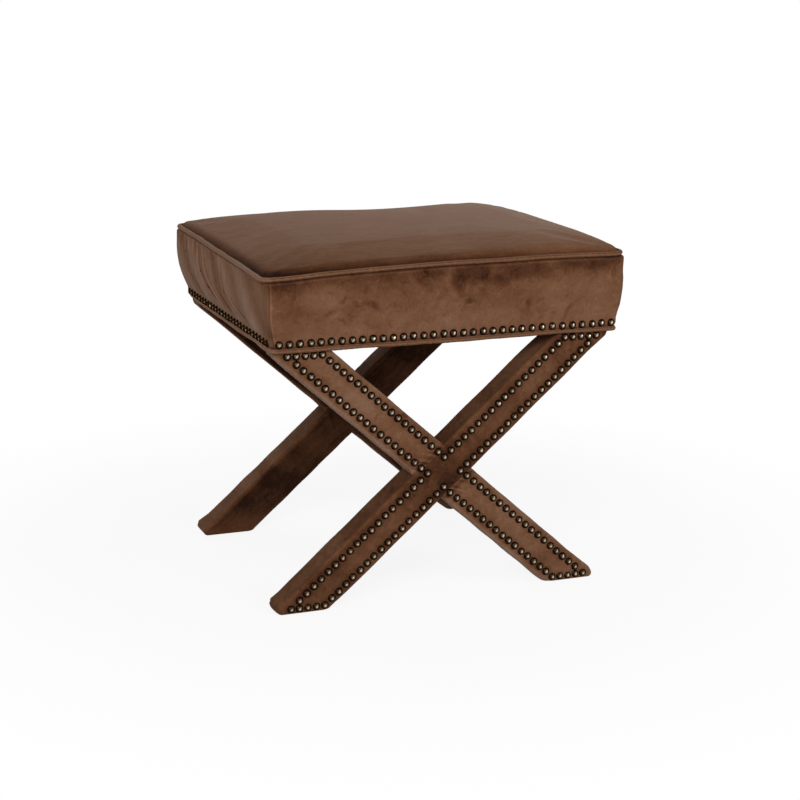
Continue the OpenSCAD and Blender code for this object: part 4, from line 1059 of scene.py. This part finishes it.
def nail_set(node, axis, radius, rise, seed):
    """All the nails of one node: one dome, a profile turned round its own axis, repeated at each place
    with a small lean, shift and size of its own."""
    rng = np.random.default_rng(seed)
    middles = nail_places(node, axis)
    count, turns = len(middles), 12
    profile = np.array(NAIL_PROFILE)
    angle = np.linspace(0, 2 * np.pi, turns, endpoint=False)
    ring = np.stack([np.outer(profile[:, 0], np.cos(angle)) * radius,
                     np.outer(profile[:, 0], np.sin(angle)) * radius,
                     np.repeat(profile[:, 1:], turns, axis=1) * rise], axis=-1).reshape(-1, 3)
    head = np.concatenate([ring, [[0, 0, rise], [0, 0, profile[0, 1] * rise]]])
    lean = rng.normal(0, NAIL_LEAN, (count, 2))
    shift = rng.normal(0, NAIL_SHIFT, (count, 2))
    size = 1 + rng.normal(0, NAIL_SIZE, count)
    local = head[None] * size[:, None, None]
    local[..., 2] += local[..., 0] * lean[:, :1] + local[..., 1] * lean[:, 1:]
    local[..., 0] += shift[:, :1]
    local[..., 1] += shift[:, 1:]
    column = abs(axis) - 1
    points = np.zeros((count, len(head), 3))
    points[..., column] = np.sign(axis) * local[..., 2]
    points[..., 1 - column] = local[..., 0]
    points[..., 2] = local[..., 1]
    points += middles[:, None, :]
    top, bottom = len(head) - 2, len(head) - 1
    loop = np.arange(turns)
    highest = (len(profile) - 1) * turns + loop
    caps = np.concatenate([cap_faces(highest[::-1], top), cap_faces(loop, bottom)])
    offsets = (np.arange(count) * len(head))[:, None, None]
    quads = (strip_quads(len(profile), turns)[None] + offsets).reshape(-1, 4)
    triangles = (caps[None] + offsets).reshape(-1, 3)
    dome = np.concatenate([np.repeat(np.minimum(profile[:, 0] + (profile[:, 1] < 0.1) * 0.2, 1), turns),
                           [0.0, 1.0]])
    piece = make_piece(node.replace("nails", "nail_heads"), points, [quads, triangles], "antique_brass",
                       dome=np.tile(dome, count))
    return settle(piece, "antique_brass", node)


class STOOL_OT_nails(bpy.types.Operator):
    """Domed antique-brass nails round the seat and along the legs"""
    bl_idname = "stool.nails"
    bl_label = "Nails"

    def execute(self, context):
        sizes = context.scene.stool_sizes
        for number, (node, axis) in enumerate(SEAT_NAILS + LEG_NAILS):
            nail_set(node, axis, sizes.nail_width / 2, sizes.nail_rise, 90 + number)
        return {"FINISHED"}


# The lining under the seat: the half width of its long strip between the legs, its gap to the leg covers,
# its sag and its thickness
STRIP_HALF, LEG_GAP, SAG, LINING_THICK = 118 * MM, 1.5 * MM, 2.2 * MM, 0.6 * MM


class STOOL_OT_dust_cover(bpy.types.Operator):
    """Black lining stretched under the seat"""
    bl_idname = "stool.dust_cover"
    bl_label = "Dust cover"

    def execute(self, context):
        low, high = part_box("dust_cover")
        # It is cut round the leg tops: a wide strip between the frames and a long one between the legs
        inner_y = LEG_HIGH.y + LEG_GAP
        outer_y = 2 * MIDDLE_Y - inner_y
        x = np.unique(np.concatenate([np.linspace(low.x, high.x, 61), [-STRIP_HALF, STRIP_HALF]]))
        y = np.unique(np.concatenate([np.linspace(low.y, high.y, 53), [inner_y, outer_y]]))
        gx, gy = np.meshgrid(x, y)
        inside = ((gy >= inner_y - 1e-9) & (gy <= outer_y + 1e-9)), (np.abs(gx) <= STRIP_HALF + 1e-9)
        sag = (1 - (gx / high.x) ** 2) * (1 - ((gy - MIDDLE_Y) / (high.y - MIDDLE_Y)) ** 2)
        puckers = ripples(gx, gy, 20, 60, 0.2, 6, 17) * 0.25 * MM
        gz = high.z - 0.5 * MM - SAG * np.clip(sag, 0, 1) + puckers * np.clip(sag * 3, 0, 1)
        points = np.stack([gx, gy, gz], axis=-1).reshape(-1, 3)
        quads = strip_quads(len(y), len(x), round_columns=False)
        wide, long = (part.ravel()[quads].all(axis=1) for part in inside)
        quads = quads[wide | long][:, ::-1]
        used = np.unique(quads)
        lookup = np.zeros(len(points), int)
        lookup[used] = np.arange(len(used))
        piece = link_mesh("dust_cover_lining", points[used], lookup[quads].tolist(), "black_lining")
        wall = piece.modifiers.new("thickness", "SOLIDIFY")
        wall.thickness = LINING_THICK
        wall.offset = -1
        settle(piece, "lining", "dust_cover")
        return {"FINISHED"}


class STOOL_OT_inner_frame(bpy.types.Operator):
    """Finishes of the timber frame and its fasteners inside the stool"""
    bl_idname = "stool.inner_frame"
    bl_label = "Inner frame"

    def execute(self, context):
        kinds = {
            "timber_along": ("front_rail", "back_rail"),
            "timber_deep": ("left_rail", "right_rail", "rail_dowels", "corner_blocks", "lap_dowels"),
            "timber_legs": ("front_leg_a", "front_leg_b", "rear_leg_a", "rear_leg_b", "leg_dowels"),
            "birch_plywood": ("seat_deck",),
            "zinc_steel": ("corner_block_screws", "deck_screws", "leg_coach_screws", "leg_washers",
                           "dust_cover_staples"),
        }
        for material, names in kinds.items():
            for name in names:
                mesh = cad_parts[name].data
                mesh.materials.clear()
                mesh.materials.append(bpy.data.materials[material])
        return {"FINISHED"}


class STOOL_OT_finishes(bpy.types.Operator):
    """Materials of the stool"""
    bl_idname = "stool.finishes"
    bl_label = "Finishes"

    def execute(self, context):
        colours = context.scene.stool_colours
        velvet_material(colours)
        nail_material(colours)
        for name, across, tone in (("timber_along", (0.12, 1, 1), colours.timber),
                                   ("timber_deep", (1, 0.12, 1), colours.timber),
                                   ("timber_legs", (0.4, 1, 0.4), colours.timber),
                                   ("birch_plywood", (0.15, 1, 1), colours.plywood)):
            timber_material(name, across, tone)
        steel_material(colours.steel)
        lining_material(colours.lining)
        return {"FINISHED"}


# ---------------------------------------------------------------- the stage

FLOOR_SIZE = 14

# The lamps: place, the point each looks at, width, height and power
LAMPS = {
    "key_lamp": ((-1.5, -2.3, 1.7), (0, 0, 0.3), 1.5, 1.2, 70),
    "fill_lamp": ((1.7, -2.0, 1.1), (0, 0, 0.3), 1.2, 1.2, 34),
    "back_lamp": ((0.2, 2.2, 1.6), (0, 0, 0.45), 2.0, 0.7, 14),
}

# The camera: yaw, pitch and roll in degrees, its place in millimetres from the middle of the leg frames at
# the floor, and its lens. They were solved from the rows of nails, the leg frames and the seat.
CAMERA_TURN = (22.08, 14.33, 0.96)
CAMERA_PLACE = (-933.5, -2335.0, 874.1)
CAMERA_LENS = 80.48


def seen_by_eye(n):
    """1 on rays from the camera and on reflected and transmitted ones, and 0 on those that only light."""
    path = n.add("LightPath")
    kinds = ("Camera", "Glossy", "Transmission")
    return n.math("MAXIMUM", *(path.outputs[f"Is {kind} Ray"] for kind in kinds))


def stage_material():
    """Pale floor: the eye and reflections see it white, except that it keeps part of the shadow near the
    stool, and everything else sees plain pale matt paint."""
    material, n = new_material("pale_floor")
    distance = n.add("VectorMath", operation="LENGTH")
    n.plug(n.where(), distance.inputs[0])
    far = n.spread(distance.outputs["Value"], 0.36, 0.95, 0.88, 1.0)
    n.surface(Base_Color=(0.74, 0.74, 0.74), Roughness=0.9, Specular_IOR_Level=0.1)
    glow = n.add("Emission", Color=(1, 1, 1), Strength=1.0)
    both = n.add("MixShader", Fac=n.math("MULTIPLY", seen_by_eye(n), far))
    n.plug(n.tree.nodes["Principled BSDF"].outputs["BSDF"], both.inputs[1])
    n.plug(glow.outputs["Emission"], both.inputs[2])
    n.plug(both.outputs["Shader"], n.tree.nodes["Material Output"].inputs["Surface"])
    return material


def soft_lamp(name, place, aim, width, height, power):
    """A soft rectangular lamp at a place, turned to look at a point."""
    data = bpy.data.lights.new(name, "AREA")
    data.shape = "RECTANGLE"
    data.size, data.size_y = width, height
    data.energy = power
    back = np.array(place, float) - np.array(aim, float)
    back = back / np.linalg.norm(back)
    right = np.cross((0, 0, 1.0), back)
    right = right / np.linalg.norm(right)
    stand(name, data, right, np.cross(back, right), back, place)


def stand(name, data, right, up, back, place):
    """An object at a place, with its axes along the three directions."""
    turned = np.eye(4)
    turned[:3] = np.stack([right, up, back, place], axis=1)
    thing = bpy.data.objects.new(name, data)
    thing.matrix_world = Matrix(turned.tolist())
    bpy.context.scene.collection.objects.link(thing)
    return thing


class STOOL_OT_stage(bpy.types.Operator):
    """Pale floor, soft lamps and the camera"""
    bl_idname = "stool.stage"
    bl_label = "Stage"

    def execute(self, context):
        scene = context.scene
        bpy.ops.mesh.primitive_plane_add(size=FLOOR_SIZE, location=(0, 0, 0))
        floor = context.active_object
        floor.name = "pale_floor"
        floor.data.materials.append(stage_material())
        # A white world for the eye, and a dimmer one that lights the stool
        world = bpy.data.worlds.new("studio")
        scene.world = world
        world.use_nodes = True
        n = Nodes(world.node_tree)
        back = n.tree.nodes["Background"]
        n.plug(n.spread(seen_by_eye(n), 0, 1, 0.28, 1.0), back.inputs["Strength"])
        n.plug((1, 1, 1), back.inputs["Color"])
        for name, sets in LAMPS.items():
            soft_lamp(name, *sets)
        set_camera(scene)
        scene.view_settings.view_transform = "Standard"
        return {"FINISHED"}


def set_camera(scene):
    """The camera stands at the front, to the left, and looks a little down."""
    yaw, pitch, roll = np.radians(CAMERA_TURN)
    ahead = np.array([np.sin(yaw) * np.cos(pitch), np.cos(yaw) * np.cos(pitch), -np.sin(pitch)])
    right = np.array([np.cos(yaw), -np.sin(yaw), 0])
    up = np.cross(right, ahead)
    data = bpy.data.cameras.new("camera")
    data.lens = CAMERA_LENS
    data.sensor_width = 36
    data.clip_end = 50
    scene.camera = stand("camera", data, np.cos(roll) * right + np.sin(roll) * up,
                         -np.sin(roll) * right + np.cos(roll) * up, -ahead,
                         np.array(CAMERA_PLACE) * MM + np.array([0, MIDDLE_Y, 0]))


class STOOL_PT_panel(bpy.types.Panel):
    """Lists the steps that dress the stool"""
    bl_idname = "STOOL_PT_panel"
    bl_label = "Stool"
    bl_space_type = "VIEW_3D"
    bl_region_type = "UI"
    bl_category = "Stool"

    def draw(self, context):
        layout = self.layout
        for group in (context.scene.stool_sizes, context.scene.stool_colours):
            box = layout.box()
            for name in group.bl_rna.properties.keys():
                if name not in ("rna_type", "name"):
                    box.prop(group, name)
        for operator in OPERATORS:
            layout.operator(operator.bl_idname)


OPERATORS = (STOOL_OT_finishes, STOOL_OT_stage, STOOL_OT_seat_top, STOOL_OT_seat_boxing, STOOL_OT_welts,
             STOOL_OT_leg_sleeves, STOOL_OT_nails, STOOL_OT_dust_cover, STOOL_OT_inner_frame)
CLASSES = (StoolSizes, StoolColours) + OPERATORS + (STOOL_PT_panel,)


def register():
    for cls in CLASSES:
        bpy.utils.register_class(cls)
    bpy.types.Scene.stool_sizes = bpy.props.PointerProperty(type=StoolSizes)
    bpy.types.Scene.stool_colours = bpy.props.PointerProperty(type=StoolColours)


def unregister():
    del bpy.types.Scene.stool_colours
    del bpy.types.Scene.stool_sizes
    for cls in reversed(CLASSES):
        bpy.utils.unregister_class(cls)


def main():
    register()
    for operator in OPERATORS:
        group, name = operator.bl_idname.split(".")
        getattr(getattr(bpy.ops, group), name)()


if __name__ == "__main__":
    main()
